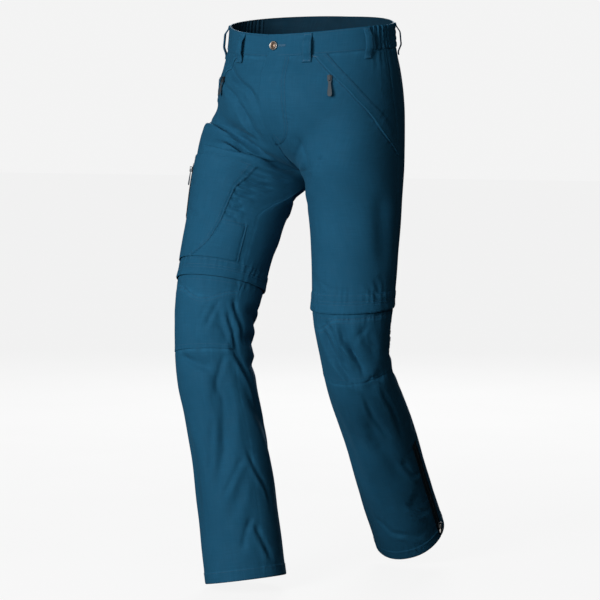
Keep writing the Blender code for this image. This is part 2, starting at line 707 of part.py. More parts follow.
def pull(name, at, length, scale, look):
    """A tab with an eye whose top bar lies under the slider's bridge; its origin is on the hinge."""
    tab = length - EYE_LENGTH
    down = [-PIN_HALF, PIN_HALF, EYE_LENGTH]
    half = [EYE_OUTER, EYE_OUTER, EYE_OUTER]
    thick = [PIN_HALF, PIN_HALF, PIN_HALF]
    for row in PULL_SHAPE[1:]:
        down.append(EYE_LENGTH + row.share * tab)
        half.append(row.half_width * scale)
        thick.append(row.half_thickness)
    across = np.array((-1.0, -EYE_HALF / EYE_OUTER, EYE_HALF / EYE_OUTER, 1.0))
    filled = np.ones((len(down) - 1, 3), bool)
    filled[1, 1] = False
    hinge = place(at, 0.0, 0.0, PIN_HEIGHT)
    at_hinge = at._replace(point=hinge)
    faces = []
    for sign in (1, -1):
        faces.append(place(at_hinge, across * np.array(half)[:, None], np.array(down)[:, None],
                           sign * np.array(thick)[:, None]))
    slab(name, *faces, look, filled=filled, origin=hinge)
    return at_hinge


# Each zip that has a pull: name, side, u, q, height over the cloth, pull length and width scale
Zip = namedtuple("Zip", "name side u q out length scale")
ZIPS = (
    Zip("pocket_left", "left", 0.2325, 0.0925, SEAM, 0.034, 1.0),
    Zip("pocket_right", "right", 0.2325, 0.0925, SEAM, 0.030, 1.0),
    Zip("thigh", "right", THIGH_ZIP[0], 0.300, LIE_ACROSS + CLOTH + ZIP_CLOTH + 3 * SEAM, 0.030, 0.9),
    Zip("ankle_left", "left", SIDE, ANKLE_SLIDER, 0.0007 + ZIP_CLOTH + SEAM, 0.016, 0.85),
    Zip("ankle_right", "right", SIDE, ANKLE_SLIDER, 0.0007 + ZIP_CLOTH + SEAM, 0.016, 0.85),
)


def zips():
    """Sliders and pulls; returns each pull's hinge frame by name."""
    hinges = {}
    for row in ZIPS:
        at = seat(row.side, row.u, row.q, row.out)
        slider(row.name + "_slider", at)
        look = metal() if "ankle" in row.name else moulded()
        hinges[row.name] = pull(row.name + "_pull", at, row.length, row.scale, look)
    return hinges


# A dished shank button: radius and height of its turned outline
Turn = namedtuple("Turn", "radius height")
BUTTON_OUTLINE = (
    Turn(0.0, 0.0),
    Turn(BUTTON_RADIUS - 0.0006, 0.0),
    Turn(BUTTON_RADIUS, 0.0007),
    Turn(BUTTON_RADIUS, 0.0019),
    Turn(BUTTON_RADIUS - 0.0007, 0.0026),
    Turn(BUTTON_RADIUS - 0.0021, 0.0027),
    Turn(BUTTON_RADIUS - 0.0028, 0.0021),
    Turn(0.0030, 0.0022),
    Turn(0.0, 0.0028),
)


def button():
    """The waistband's shank button."""
    at = seat("left", *BUTTON_AT, BAND_PROUD + LIE_ACROSS)
    steps = 24
    angle = np.arange(steps) * 2 * pi / steps
    inner_rows = BUTTON_OUTLINE[1:-1]
    rings = [place(at, row.radius * np.cos(angle), row.radius * np.sin(angle), row.height) for row in inner_rows]
    points = np.concatenate([[place(at, 0.0, 0.0, 0.0)], *rings, [place(at, 0.0, 0.0, BUTTON_OUTLINE[-1].height)]])
    last = len(points) - 1
    faces = []
    for k in range(steps):
        n = (k + 1) % steps
        faces.append((0, 1 + k, 1 + n))
        faces.append((last, last - steps + n, last - steps + k))
        for ring in range(len(inner_rows) - 1):
            low, high = 1 + ring * steps, 1 + (ring + 1) * steps
            faces.append((low + k, low + n, high + n, high + k))
    finish("button", points, faces, metal())


def main():
    """Build every piece; returns the hinge frames of the pulls."""
    for old in list(bpy.data.objects):
        bpy.data.objects.remove(old)
    fronts = {}
    for side in ("left", "right"):
        fronts[side] = upper_pieces(side)
        zip_off_pieces(side)
        lower_pieces(side)
    fly(fronts["left"], fronts["right"])
    thigh_pocket(fronts["right"])
    waistband()
    belt_loops()
    button()
    return zips()


HINGES = main()
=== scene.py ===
"""Looks of the zip-off hiking trousers: fine cloth, sewing, zips, metal, light and camera.

Metres, +Z up; the wearer faces -Y. A point of the cloth is named by its side, by u and by q. u
runs round one half of the garment, from 0 at the centre front (the inseam below the crotch)
through 0.5 at the side seam to 1 at the centre back (the inseam again). q is the way down the
cloth from the top of the waist.
"""

from collections import defaultdict, namedtuple
from math import cos, pi, radians, sin

import bpy
import numpy as np
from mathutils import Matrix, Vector


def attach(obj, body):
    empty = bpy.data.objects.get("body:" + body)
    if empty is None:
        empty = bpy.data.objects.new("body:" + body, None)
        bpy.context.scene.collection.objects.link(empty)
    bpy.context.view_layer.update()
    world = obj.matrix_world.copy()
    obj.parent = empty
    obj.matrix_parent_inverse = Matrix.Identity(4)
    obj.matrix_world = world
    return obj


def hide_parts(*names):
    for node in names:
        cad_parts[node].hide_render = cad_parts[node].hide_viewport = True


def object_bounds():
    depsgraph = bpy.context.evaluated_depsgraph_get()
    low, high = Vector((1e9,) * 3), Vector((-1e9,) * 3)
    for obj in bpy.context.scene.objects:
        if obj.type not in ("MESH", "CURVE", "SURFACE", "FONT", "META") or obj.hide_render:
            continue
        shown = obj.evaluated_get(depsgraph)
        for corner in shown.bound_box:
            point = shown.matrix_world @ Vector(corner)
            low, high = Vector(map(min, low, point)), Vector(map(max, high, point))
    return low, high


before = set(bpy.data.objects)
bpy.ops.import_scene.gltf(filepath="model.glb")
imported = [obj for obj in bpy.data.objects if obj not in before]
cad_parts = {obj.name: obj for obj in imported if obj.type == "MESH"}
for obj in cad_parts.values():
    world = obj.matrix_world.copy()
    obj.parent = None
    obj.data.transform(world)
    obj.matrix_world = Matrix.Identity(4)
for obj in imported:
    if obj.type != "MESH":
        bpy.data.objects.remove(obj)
CAD_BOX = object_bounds()

# Driving sizes, as in the solids
WAISTBAND = 0.043
CROTCH = 0.265
KNEE = 0.600
HEM = 1.038
ZIP_OFF = {"right": 0.500, "left": 0.512}
FLAP_HEIGHT = 0.032
COIL_HEIGHT = 0.010
KNEE_SEAM_TOP = 0.519
KNEE_SEAM_DIP = 0.020
KNEE_SEAM_LOW = 0.625
FRONT_DIP = 0.018
BACK_RISE = 0.022
CLOTH = 0.0012
BAND_CLOTH = 0.0024
BAND_PROUD = 0.0008
SEAM = 0.0001
LIE = 0.0004
LIE_ACROSS = 0.0008
HIP_JOINT = np.array((0.095, 0.010, -0.130))
KNEE_JOINT = np.array((0.100, 0.010, -KNEE))

Hip = namedtuple("Hip", "q half_width front back square")
HIPS = (
    Hip(0.000, 0.164, 0.120, 0.125, 1.00),
    Hip(0.043, 0.168, 0.125, 0.128, 1.00),
    Hip(0.090, 0.176, 0.143, 0.136, 0.97),
    Hip(0.140, 0.179, 0.146, 0.141, 0.95),
    Hip(0.190, 0.179, 0.142, 0.141, 0.94),
    Hip(0.265, 0.177, 0.136, 0.136, 0.94),
)
Leg = namedtuple("Leg", "q centre_x centre_y half_width front back")
LEGS = {
    "right": (
        Leg(0.080, 0.0890, 0.012, 0.0890, 0.130, 0.132),
        Leg(0.265, 0.0945, 0.004, 0.0940, 0.114, 0.112),
        Leg(0.330, 0.1060, -0.002, 0.0850, 0.098, 0.095),
        Leg(0.420, 0.1080, -0.004, 0.0790, 0.086, 0.086),
        Leg(0.500, 0.1030, -0.002, 0.0750, 0.080, 0.080),
        Leg(0.600, 0.0980, 0.000, 0.0700, 0.074, 0.072),
        Leg(0.700, 0.0970, 0.002, 0.0690, 0.073, 0.072),
        Leg(0.800, 0.0990, 0.006, 0.0690, 0.073, 0.073),
        Leg(0.920, 0.1010, 0.008, 0.0690, 0.074, 0.074),
        Leg(1.060, 0.1020, 0.008, 0.0710, 0.075, 0.076),
    ),
    "left": (
        Leg(0.080, 0.0890, 0.012, 0.0890, 0.130, 0.132),
        Leg(0.265, 0.0900, 0.008, 0.0895, 0.114, 0.114),
        Leg(0.330, 0.0960, 0.006, 0.0840, 0.096, 0.096),
        Leg(0.420, 0.0980, 0.004, 0.0780, 0.086, 0.086),
        Leg(0.500, 0.1000, 0.002, 0.0740, 0.079, 0.079),
        Leg(0.600, 0.1020, 0.002, 0.0640, 0.066, 0.066),
        Leg(0.700, 0.1010, 0.004, 0.0640, 0.067, 0.068),
        Leg(0.800, 0.0980, 0.004, 0.0660, 0.070, 0.070),
        Leg(0.920, 0.0960, 0.004, 0.0670, 0.072, 0.072),
        Leg(1.060, 0.0960, 0.004, 0.0670, 0.074, 0.073),
    ),
}
# How much higher the top of the waist hangs than on the even figure, as (u, height)
WAIST_RISE = {
    "left": ((0.0, 0.0), (0.4, 0.0), (0.62, -0.005), (0.85, -0.001), (1.0, 0.001)),
    "right": ((0.0, 0.0), (0.15, 0.004), (0.35, 0.010), (0.60, 0.010), (0.85, 0.005), (1.0, 0.001)),
}
RISE_FADE = (0.020, 0.090)
Pose = namedtuple("Pose", "hip_bend hip_spread hip_turn knee_bend knee_spread knee_turn knee_reach")
POSES = {
    "right": Pose(20.0, -4.5, 24.0, 20.0, -3.0, -2.0, 0.22),
    "left": Pose(1.0, 0.0, 10.0, 35.0, 1.0, 0.0, 0.18),
}

# A fold is a soft trough (depth below 0) or ridge from (u0, q0) to (u1, q1), bowed sideways by
# bow at its middle. The large ones are in the solids too
Fold = namedtuple("Fold", "side u0 q0 u1 q1 bow width depth")


def folds(**sides):
    """Rows of a Fold's columns after side, with u in thousandths and the rest in millimetres."""
    made = []
    for side, rows in sides.items():
        made += [Fold(side, *(value / 1000 for value in row)) for row in rows]
    return made


FOLDS = folds(right=(
    (235, 60, 30, 160, 6, 16, -4.5),
    (190, 108, 45, 212, 4, 15, -4),
    (300, 186, 30, 224, 8, 17, -7),
    (175, 212, 30, 270, 6, 16, -8),
    (330, 215, 190, 196, 0, 18, 4),
    (200, 240, 40, 310, 6, 18, 3.5),
    (80, 300, 35, 400, 0, 21, -0.8),
    (260, 640, 85, 662, 4, 15, -5),
    (60, 640, 165, 880, 10, 18, -5.5),
    (150, 540, 110, 610, 0, 20, 2.5),
    (960, 700, 800, 860, 10, 19, -5),
    (955, 545, 760, 590, 6, 16, -3.4),
    (955, 600, 700, 628, 6, 16, -3.8),
    (930, 648, 640, 660, 4, 17, -3.4),
    (340, 700, 280, 930, 8, 20, -4),
    (620, 740, 700, 960, 6, 20, -4.5),
    (950, 290, 720, 330, 10, 20, -6),
    (940, 240, 700, 265, 10, 20, -5),
    (650, 360, 600, 460, 4, 20, -3.5),
), left=(
    (180, 524, 325, 625, 6, 15, -5.5),
    (275, 522, 375, 618, 4, 14, -5),
    (350, 530, 425, 590, 2, 14, -2.4),
    (345, 640, 470, 622, 0, 14, -1.6),
    (560, 560, 860, 548, 6, 16, -5.5),
    (540, 600, 880, 590, 6, 16, -4.8),
    (560, 640, 860, 640, 6, 16, -6),
    (600, 678, 840, 690, 4, 17, -4.5),
    (330, 665, 400, 880, 8, 20, -4.5),
    (150, 650, 190, 860, 6, 20, -4),
    (700, 740, 620, 960, 8, 20, -4.5),
    (40, 255, 150, 205, 4, 18, -4),
    (40, 290, 190, 262, 6, 19, -4.5),
    (950, 285, 700, 300, 10, 20, -6),
    (940, 235, 700, 245, 10, 20, -4.5),
    (420, 300, 450, 440, 4, 22, -3.5),
))
PINNED = 0.018
# Folds wider than these get no sharper core, or only a core
SOFT_FOLD = 0.0180
CORED_FOLD = 0.0135

# Smaller creases, only in the fine cloth
CREASES = folds(right=(
    (225, 80, 60, 168, 6, 7, -1.8),
    (130, 146, 60, 190, 2, 7, -1.4),
    (290, 206, 90, 224, 6, 7, -2),
    (130, 234, 50, 254, 2, 7, -2.2),
    (360, 200, 280, 184, 1, 8, -1.6),
    (375, 60, 325, 135, 3, 11, -1.6),
    (425, 118, 330, 170, 4, 11, -1.8),
    (460, 178, 385, 222, 3, 10, -1.6),
    (85, 545, 40, 602, 2, 8, -2.2),
    (62, 580, 26, 622, 2, 8, -2.2),
    (210, 545, 165, 604, 2, 13, -1.2),
    (240, 656, 120, 674, 4, 7, -1.6),
    (190, 690, 150, 765, 4, 12, -1.6),
    (92, 660, 128, 745, 4, 8, -2),
    (30, 690, 85, 800, 4, 9, -2),
    (40, 840, 140, 945, 6, 11, -2.6),
    (28, 925, 92, 992, 3, 9, -2.2),
    (250, 780, 225, 965, 6, 14, -1.6),
    (400, 545, 330, 585, 3, 9, -1.6),
    (470, 850, 400, 955, 4, 12, -1.8),
    (930, 192, 815, 146, 6, 10, -1.8),
    (940, 268, 780, 228, 8, 10, -2),
    (900, 316, 700, 350, 8, 12, -2),
    (765, 110, 720, 200, 4, 14, -1.4),
    (600, 190, 575, 330, 4, 14, -1.6),
    (860, 396, 775, 462, 6, 12, -2),
    (870, 530, 770, 562, 4, 8, -1.6),
    (860, 580, 700, 606, 4, 8, -1.6),
    (870, 622, 640, 642, 4, 8, -2),
    (800, 700, 845, 820, 4, 12, -2),
    (745, 865, 800, 985, 4, 12, -1.8),
    (580, 775, 560, 935, 3, 12, -1.6),
), left=(
    (165, 532, 245, 604, 4, 7, -2),
    (300, 548, 352, 612, 3, 7, -1.8),
    (385, 540, 440, 575, 2, 7, -1.8),
    (402, 612, 455, 633, 1, 7, -1.2),
    (362, 636, 398, 622, 1, 7, -1),
    (405, 452, 440, 482, 1, 7, -0.8),
    (430, 442, 464, 480, 1, 7, -0.8),
    (110, 448, 240, 486, 6, 10, -1.8),
    (60, 228, 112, 192, 3, 7, -1.6),
    (50, 264, 145, 232, 3, 7, -1.8),
    (55, 335, 135, 290, 4, 11, -1.8),
    (205, 249, 238, 241, 0, 5, -1.4),
    (300, 690, 362, 805, 6, 11, -2.2),
    (210, 660, 262, 780, 6, 11, -2),
    (250, 820, 330, 935, 6, 13, -2),
    (400, 895, 470, 985, 4, 12, -2.2),
    (150, 895, 232, 985, 4, 12, -1.8),
    (80, 760, 112, 905, 4, 12, -1.8),
    (320, 980, 430, 1000, 2, 9, -1.2),
    (925, 200, 800, 158, 6, 11, -2),
    (945, 262, 800, 215, 8, 9, -2.2),
    (905, 322, 680, 335, 10, 12, -1.8),
    (740, 122, 705, 190, 4, 13, -1.6),
    (590, 215, 560, 345, 4, 14, -1.4),
    (880, 385, 800, 470, 6, 12, -2),
    (900, 528, 700, 575, 6, 8, -2.2),
    (880, 612, 700, 618, 4, 8, -2.4),
    (820, 662, 620, 658, 4, 8, -2.2),
    (790, 720, 850, 850, 4, 12, -2),
    (760, 880, 720, 985, 4, 12, -1.8),
    (565, 760, 545, 800, 1, 9, -1.6),
))

# Sharper creases that follow a line of (u, q) places, with a raised lip below them. u runs past
# 0 or 1 where a crease crosses the inseam
Crease = namedtuple("Crease", "side width depth lip line")


def sharp(**sides):
    """Rows of width, depth, lip and the line's (u, q) places, in the same units."""
    made = []
    for side, rows in sides.items():
        for width, depth, lip, *line in rows:
            made.append(Crease(side, width / 1000, depth / 1000, lip, np.array(line) / 1000))
    return made


SHARP = sharp(right=(
    (5.4, -3.8, 0.5, (330, 70), (223, 101), (98, 142)),
    (5.6, -4.8, 0.6, (242, 56), (150, 86), (70, 111), (18, 160)),
    (5, -4.4, 0.6, (138, 134), (110, 154), (83, 186), (52, 214)),
    (4.6, -6.6, 0.8, (328, 197), (205, 198), (147, 211), (83, 238), (50, 246)),
    (4, -4.2, 0.6, (217, 209), (160, 213), (115, 227), (92, 242)),
    (7.6, -12.5, 0.5, (196, 222), (158, 236), (128, 247), (88, 259), (50, 266), (22, 270)),
    (4.6, -3, 0.4, (115, 288), (80, 284), (38, 290)),
    (3.8, -3.4, 0.6, (290, 377), (210, 392)),
    (3.6, -2.8, 0.6, (300, 330), (255, 332)),
    (4.2, -5.2, 0.6, (112, 300), (70, 298)),
    (4.2, -6.1, 0.6, (101, 313), (72, 314), (44, 312)),
    (4, -4.9, 0.6, (97, 328), (58, 327)),
    (4.2, -6.4, 0.6, (97, 343), (70, 345), (42, 342)),
    (4, -4.9, 0.6, (99, 358), (62, 357)),
    (4.2, -5.8, 0.6, (104, 371), (70, 372), (50, 370)),
    (4, -4.6, 0.6, (110, 385), (68, 387)),
    (4.4, -3.8, 0.6, (1018, 530), (1003, 550), (960, 584), (945, 610)),
    (4.2, -3.4, 0.6, (1040, 552), (1000, 596), (972, 640)),
    (3.4, -1.8, 0.5, (65, 536), (95, 568), (122, 597)),
    (3.2, -1.4, 0.5, (105, 541), (150, 585)),
    (3.8, -2, 0.5, (320, 508), (250, 518), (198, 533)),
    (4.4, -3.4, 0.6, (240, 632), (223, 639), (152, 655), (98, 662)),
    (5.8, -5, 0.6, (5, 600), (0, 627), (-40, 655), (-78, 685), (-120, 740)),
    (4.8, -3, 0.5, (35, 631), (83, 680), (95, 712)),
    (5.2, -2.6, 0.5, (33, 815), (90, 854), (145, 895)),
    (4.8, -2.8, 0.5, (28, 925), (65, 956), (85, 985)),
    (5.5, -3, 0.5, (128, 735), (163, 796), (198, 860)),
    (5.5, -3.8, 0.6, (26, 935), (-10, 975), (-40, 1010)),
    (5, -3.2, 0.6, (20, 800), (-20, 850), (-60, 880), (-75, 915)),
    (5.2, -4.3, 0.6, (860, 530), (800, 546), (700, 556)),
    (5.2, -4.9, 0.6, (850, 566), (780, 582), (670, 590)),
    (5.2, -4.3, 0.6, (850, 614), (770, 624), (650, 616)),
    (5.8, -5.6, 0.6, (930, 278), (850, 262), (760, 232)),
    (5.4, -5, 0.6, (935, 312), (850, 315), (740, 340)),
), left=(
    (4.6, -4, 0.7, (188, 521), (228, 541), (253, 562), (275, 590), (300, 606)),
    (4.2, -4.6, 0.7, (265, 525), (280, 558), (328, 579), (348, 597), (350, 618)),
    (4.4, -4, 0.7, (160, 528), (200, 566), (250, 600), (302, 628), (340, 640)),
    (4.6, -1.2, 0.5, (318, 566), (336, 548), (395, 535)),
    (3.6, -1.8, 0.5, (350, 630), (388, 621), (430, 628)),
    (4.4, -1.4, 0.5, (360, 462), (410, 483), (450, 497)),
    (4, -1, 0.5, (403, 462), (448, 490)),
    (3.4, -1.6, 0.5, (170, 460), (230, 473), (330, 479)),
    (3.4, -2.4, 0.6, (215, 245), (226, 248)),
    (6, -2.2, 0.4, (105, 200), (150, 232), (165, 262)),
    (5.5, -2.6, 0.5, (420, 640), (445, 700), (440, 770)),
    (5, -2.4, 0.5, (330, 640), (345, 700), (385, 760)),
    (5.2, -3, 0.6, (400, 810), (440, 860), (478, 880)),
    (4.8, -2.6, 0.5, (360, 905), (420, 950), (470, 965)),
    (5.5, -2.4, 0.5, (200, 930), (270, 970), (350, 985)),
    (5.2, -4.9, 0.6, (560, 545), (660, 552), (790, 540)),
    (5.2, -4.6, 0.6, (620, 575), (720, 585), (860, 572)),
    (5.2, -4.3, 0.6, (610, 612), (700, 620), (850, 606)),
    (5.2, -4.1, 0.6, (600, 648), (720, 660), (830, 655)),
    (5.8, -5.6, 0.6, (930, 270), (840, 258), (750, 222)),
    (5.4, -5, 0.6, (930, 305), (830, 312), (720, 328)),
))

# Pattern lines on the cloth, as (q, u)
SLANT = (
    (0.043, 0.166), (0.086, 0.240), (0.108, 0.280), (0.141, 0.343),
    (0.154, 0.368), (0.196, 0.430), (0.225, 0.484), (0.234, 0.4965),
)
SLANT_END = SLANT[-1][0]
POCKET_EDGE = (
    (0.270, 0.118), (0.324, 0.092), (0.365, 0.104),
    (0.419, 0.130), (0.444, 0.155), (0.468, 0.215),
)
SIDE = 0.5
WELT_WIDTH = 0.050
POCKET_TOP = 0.277
POCKET_BACK = 0.485
PATCH_TOP = 0.396
PATCH_INNER = 0.026
FLY_EDGE = -0.012
FLY_STITCH = 0.080
FLY_BOTTOM = 0.214
FLY_TURN = 0.180

# Waistband
ELASTIC_START = 0.403
ELASTIC_END = 0.643
ELASTIC_WAVES = 11
ELASTIC_DEPTH = 0.0012
ELASTIC_ROWS = (0.0115, 0.0215, 0.0315)
LOOP_PLACES = (0.145, -0.145, 0.384, -0.384, 0.662, -0.662, 1.0)
LOOP_NAMES = (
    "front_left", "front_right", "side_left", "side_right", "hip_left", "hip_right", "back",
)
LOOP_WIDTH = 0.015
LOOP_CLOTH = 0.0014
LOOP_STITCH = 0.72
LOOP_TOP = 0.0015
LOOP_BOTTOM = 0.0590
LOOP_STAND = 0.0090
BUTTON_AT = (0.014, 0.0215)
BUTTON_RADIUS = 0.0085

# Zips
THIGH_ZIP = (0.318, 0.290, 0.390)
THIGH_ZIP_WIDTH = 0.012
ANKLE_ZIP = (0.805, 1.028)
ANKLE_ZIP_WIDTH = 0.016

# Sizes of the fine cloth and its sewing
STEP = 0.0034
FINE_STEP = 0.0026
BAND_STEP = 0.0075
BAND_THICK = BAND_CLOTH - 0.0004
SEAM_DIP = 0.0008
INSEAM_DIP = 0.0002
SEAM_REACH = 0.0024
KNEE_STEP = 0.0005
HEM_DEEP = 0.020
HEM_PROUD = 0.0006
TOPSTITCH = 0.0016
TOPSTITCH_APART = 0.0055
STITCH_PITCH = 0.0031
BAND_STITCH = 0.0024
BAR_PITCH = 0.0008
BAR_LENGTH = 0.0022
THREAD_OUT = 0.0001
STITCH_LENGTH = 0.0024
STITCH_WIDTH = 0.00055
STITCH_HEIGHT = 0.00028
ALONG_STITCH = np.array((-0.5, -0.3, 0.3, 0.5))
TOOTH_PITCH = 0.0013
TOOTH_LENGTH = 0.0030
TOOTH_WIDE = 0.42
TOOTH_HIGH = 0.0005
POCKET_PROUD = LIE_ACROSS + 0.0014
RIM_DIP = 0.0008
GROOVE_DIP = 0.0012
GROOVE_AT = TOPSTITCH + 0.0016
GATHER = 0.0008
KNEE_GATHER = {"left": 0.0013, "right": 0.0008}
# Half the way round the waist, the thickness of sewn-on pieces, and the angle in degrees above
# which an edge of a stitch or tooth is drawn sharp
WAIST_ROUND = 0.46
OVERLAY = 0.0009
STITCH_SHARP = 80
PUCKER_REACH = 0.009
FLY_SUNK = 0.0062
FLAP_ROWS = (0.0285, 0.0188, 0.0140)
HALF_GIRTHS = ((0.0, 0.14, 0.27, 0.42, 0.60, HEM), (0.46, 0.52, 0.62, 0.52, 0.44, 0.45))


def smooth(t):
    t = np.clip(t, 0.0, 1.0)
    return t * t * (3.0 - 2.0 * t)


def hump(off, width):
    """1 at the middle, falling off evenly on both sides."""
    return np.exp(-(off / width) ** 2)


def spread(*values):
    """The values as arrays of one shape."""
    return np.broadcast_arrays(*(np.asarray(value, float) for value in values))


def spline(rows, q):
    """Each named column after the first, read smoothly at q."""
    table = np.array(rows)
    x = table[:, 0]
    i = np.clip(np.searchsorted(x, q) - 1, 0, len(x) - 2)
    step = x[i + 1] - x[i]
    t = np.clip((q - x[i]) / step, 0.0, 1.0)
    values = []
    for column in range(1, table.shape[1]):
        y = table[:, column]
        slope = np.gradient(y, x)
        start = (2 * t ** 3 - 3 * t ** 2 + 1) * y[i] + (t ** 3 - 2 * t ** 2 + t) * step * slope[i]
        end = (3 * t ** 2 - 2 * t ** 3) * y[i + 1] + (t ** 3 - t ** 2) * step * slope[i + 1]
        values.append(start + end)
    return values


def rotate(points, joint, degrees, share):
    """Turn points about a joint by a share of a rotation vector about X, Y and Z."""
    turn = np.stack([share * radians(angle) for angle in degrees], -1)
    angle = np.linalg.norm(turn, axis=-1, keepdims=True)
    axis = turn / np.maximum(angle, 1e-9)
    arm = points - joint
    along = axis * (axis * arm).sum(-1, keepdims=True)
    turned = arm * np.cos(angle) + np.cross(axis, arm) * np.sin(angle)
    return joint + turned + along * (1 - np.cos(angle))


def standing(side, u, q):
    """The left half of the garment with its leg straight down."""
    half_width, front, back, square = spline(HIPS, np.minimum(q, CROTCH))
    angle = (u - 0.5) * pi
    depth = np.where(angle < 0, front, back)
    hip_x = half_width * np.abs(np.cos(angle)) ** square
    hip_y = depth * np.sign(np.sin(angle)) * np.abs(np.sin(angle)) ** square
    centre_x, centre_y, half_width, front, back = spline(LEGS[side], q)
    round_leg = (u - 0.5) * 2 * pi
    depth = np.where(round_leg < 0, front, back)
    leg_x = centre_x + half_width * np.cos(round_leg)
    leg_y = centre_y + depth * np.sin(round_leg)
    behind = smooth((u - 0.1) / 0.8)
    start = 0.120 * (1 - behind) + 0.075 * behind
    reach = np.clip((q - start) / (CROTCH - start), 0.0, 1.0)
    outer = smooth((np.minimum(u, 1 - u) - 0.08) / 0.25)
    blend = (1 - np.sqrt(1 - reach * reach)) * (1 - outer) + smooth(reach) * outer
    x = hip_x * (1 - blend) + leg_x * blend
    y = hip_y * (1 - blend) + leg_y * blend
    tilt = BACK_RISE * 0.5 * (1 + np.sin(angle)) - FRONT_DIP * 0.5 * (1 - np.sin(angle))
    z = -q + tilt * (1 - smooth(q / 0.16))
    return np.stack([np.maximum(x, SEAM / 2), y, z], -1)


def posed(side, u, q):
    """The garment's smooth outer surface in the walking pose."""
    u, q = spread(u, q)
    pose = POSES[side]
    points = standing(side, u, q)
    fade = 1 - smooth((q - RISE_FADE[0]) / (RISE_FADE[1] - RISE_FADE[0]))
    points[..., 2] += spline(WAIST_RISE[side], u)[0] * fade
    share = smooth((q - KNEE + pose.knee_reach) / (2 * pose.knee_reach))
    points = rotate(points, KNEE_JOINT, (pose.knee_bend, -pose.knee_spread, pose.knee_turn), share)
    groin = 0.325 - 0.175 * np.abs(np.sin(pi * u)) ** 1.2
    reach = 0.055 + 0.030 * smooth((u - 0.4) / 0.3) * smooth((1 - u) / 0.25)
    share = smooth((q - groin) / (2 * reach) + 0.5)
    points = rotate(points, HIP_JOINT, (-pose.hip_bend, -pose.hip_spread, pose.hip_turn), share)
    inside = (q < CROTCH + 0.015) & (points[..., 0] < SEAM / 2)
    points[..., 0] = np.where(inside, SEAM / 2, points[..., 0])
    if side == "right":
        points = points * np.array((-1.0, 1.0, 1.0))
    return points


def normals(side, u, q):
    """Unit vectors out of the cloth."""
    across = posed(side, np.minimum(u + 0.004, 1.0), q) - posed(side, np.maximum(u - 0.004, 0.0), q)
    down = posed(side, u, q + 0.003) - posed(side, u, q - 0.003)
    out = np.cross(down, across) if side == "left" else np.cross(across, down)
    return out / np.linalg.norm(out, axis=-1, keepdims=True)


def half_girth(q):
    """How far it is round one half of the garment, for measuring along u."""
    return np.interp(q, *HALF_GIRTHS)


def along_fold(fold, u, q):
    """How far along a fold a point is, and how far off its middle line."""
    start = np.array(((fold.u0 - 0.5) * half_girth(fold.q0), fold.q0))
    end = np.array(((fold.u1 - 0.5) * half_girth(fold.q1), fold.q1))
    length = np.linalg.norm(end - start)
    way = (end - start) / length
    across = (u - 0.5) * half_girth(q)
    along = ((across - start[0]) * way[0] + (q - start[1]) * way[1]) / length
    bow = 4 * fold.bow * along * (1 - along)
    off = (q - start[1]) * way[0] - (across - start[0]) * way[1] - bow
    return along, off, length


def pinned(u, q):
    """0 where the cloth is held by the inseam or the waistband, 1 away from them."""
    seam = np.minimum(u, 1 - u) * half_girth(q)
    return smooth(seam / PINNED) * smooth((q - WAISTBAND) / 0.02)


def relief(side, u, q):
    """Height of the large folds over the smooth surface, as in the solids."""
    height = np.zeros(u.shape)
    for fold in FOLDS:
        if fold.side == side:
            along, off, _ = along_fold(fold, u, q)
            ends = smooth(along / 0.35 + 0.25) * smooth((1 - along) / 0.35 + 0.25)
            shape = (1 - 0.6 * (off / fold.width) ** 2) * np.exp(-0.8 * (off / fold.width) ** 2)
            height += fold.depth * shape * ends
    return height * pinned(u, q)


def creases(side, u, q):
    """Smaller creases, and a sharper core with a slight waver down each large fold."""
    height = np.zeros(u.shape)
    for fold in FOLDS + CREASES:
        if fold.side != side or fold.width > SOFT_FOLD:
            continue
        along, off, length = along_fold(fold, u, q)
        ends = smooth(along / 0.30 + 0.10) * smooth((1 - along) / 0.45 + 0.10)
        way = along * length
        off = off + 0.0012 * np.sin(way / 0.011 + fold.u0 * 40)
        off = off + 0.0008 * np.sin(way / 0.0047 + fold.q0 * 90)
        swell = 0.8 + 0.2 * np.sin(way / 0.017 + fold.u1 * 30)
        if fold.width > CORED_FOLD:
            core = hump(off, 0.36 * fold.width)
            height += 0.50 * fold.depth * core * ends * swell
        else:
            lip = hump(off - 1.5 * fold.width, 0.8 * fold.width)
            height += fold.depth * (hump(off, fold.width) - 0.35 * lip) * ends * swell
    slow = np.sin(u * 23 + 5 * np.sin(q * 7)) * np.sin(q * 31 + 2 * np.sin(u * 9))
    return (height + 0.0006 * slow) * pinned(u, q)


def nearest(line_u, line_q, u, q):
    """How far points lie from a line, how far below it, how far along it, and its length."""
    x, across = (line_u - 0.5) * half_girth(line_q), (u - 0.5) * half_girth(q)
    best, below = np.full(u.shape, 9.0), np.zeros(u.shape)
    best_way, gone = np.zeros(u.shape), 0.0
    toward = 1.0 if x[-1] >= x[0] else -1.0
    for i in range(len(x) - 1):
        dx, dy = x[i + 1] - x[i], line_q[i + 1] - line_q[i]
        length = np.hypot(dx, dy)
        t = np.clip(((across - x[i]) * dx + (q - line_q[i]) * dy) / length ** 2, 0.0, 1.0)
        off_x, off_y = across - x[i] - t * dx, q - line_q[i] - t * dy
        far = np.hypot(off_x, off_y)
        closer = far < best
        best = np.where(closer, far, best)
        below = np.where(closer, toward * (off_y * dx - off_x * dy) / length, below)
        best_way = np.where(closer, gone + t * length, best_way)
        gone += length
    return best, below, best_way, gone


def close_by(line_u, line_q, u, q, reach):
    """Which points lie within reach of the box round a line."""
    x, across = (line_u - 0.5) * half_girth(line_q), (u - 0.5) * half_girth(q)
    near = (across > x.min() - reach) & (across < x.max() + reach)
    return near & (q > line_q.min() - reach) & (q < line_q.max() + reach)


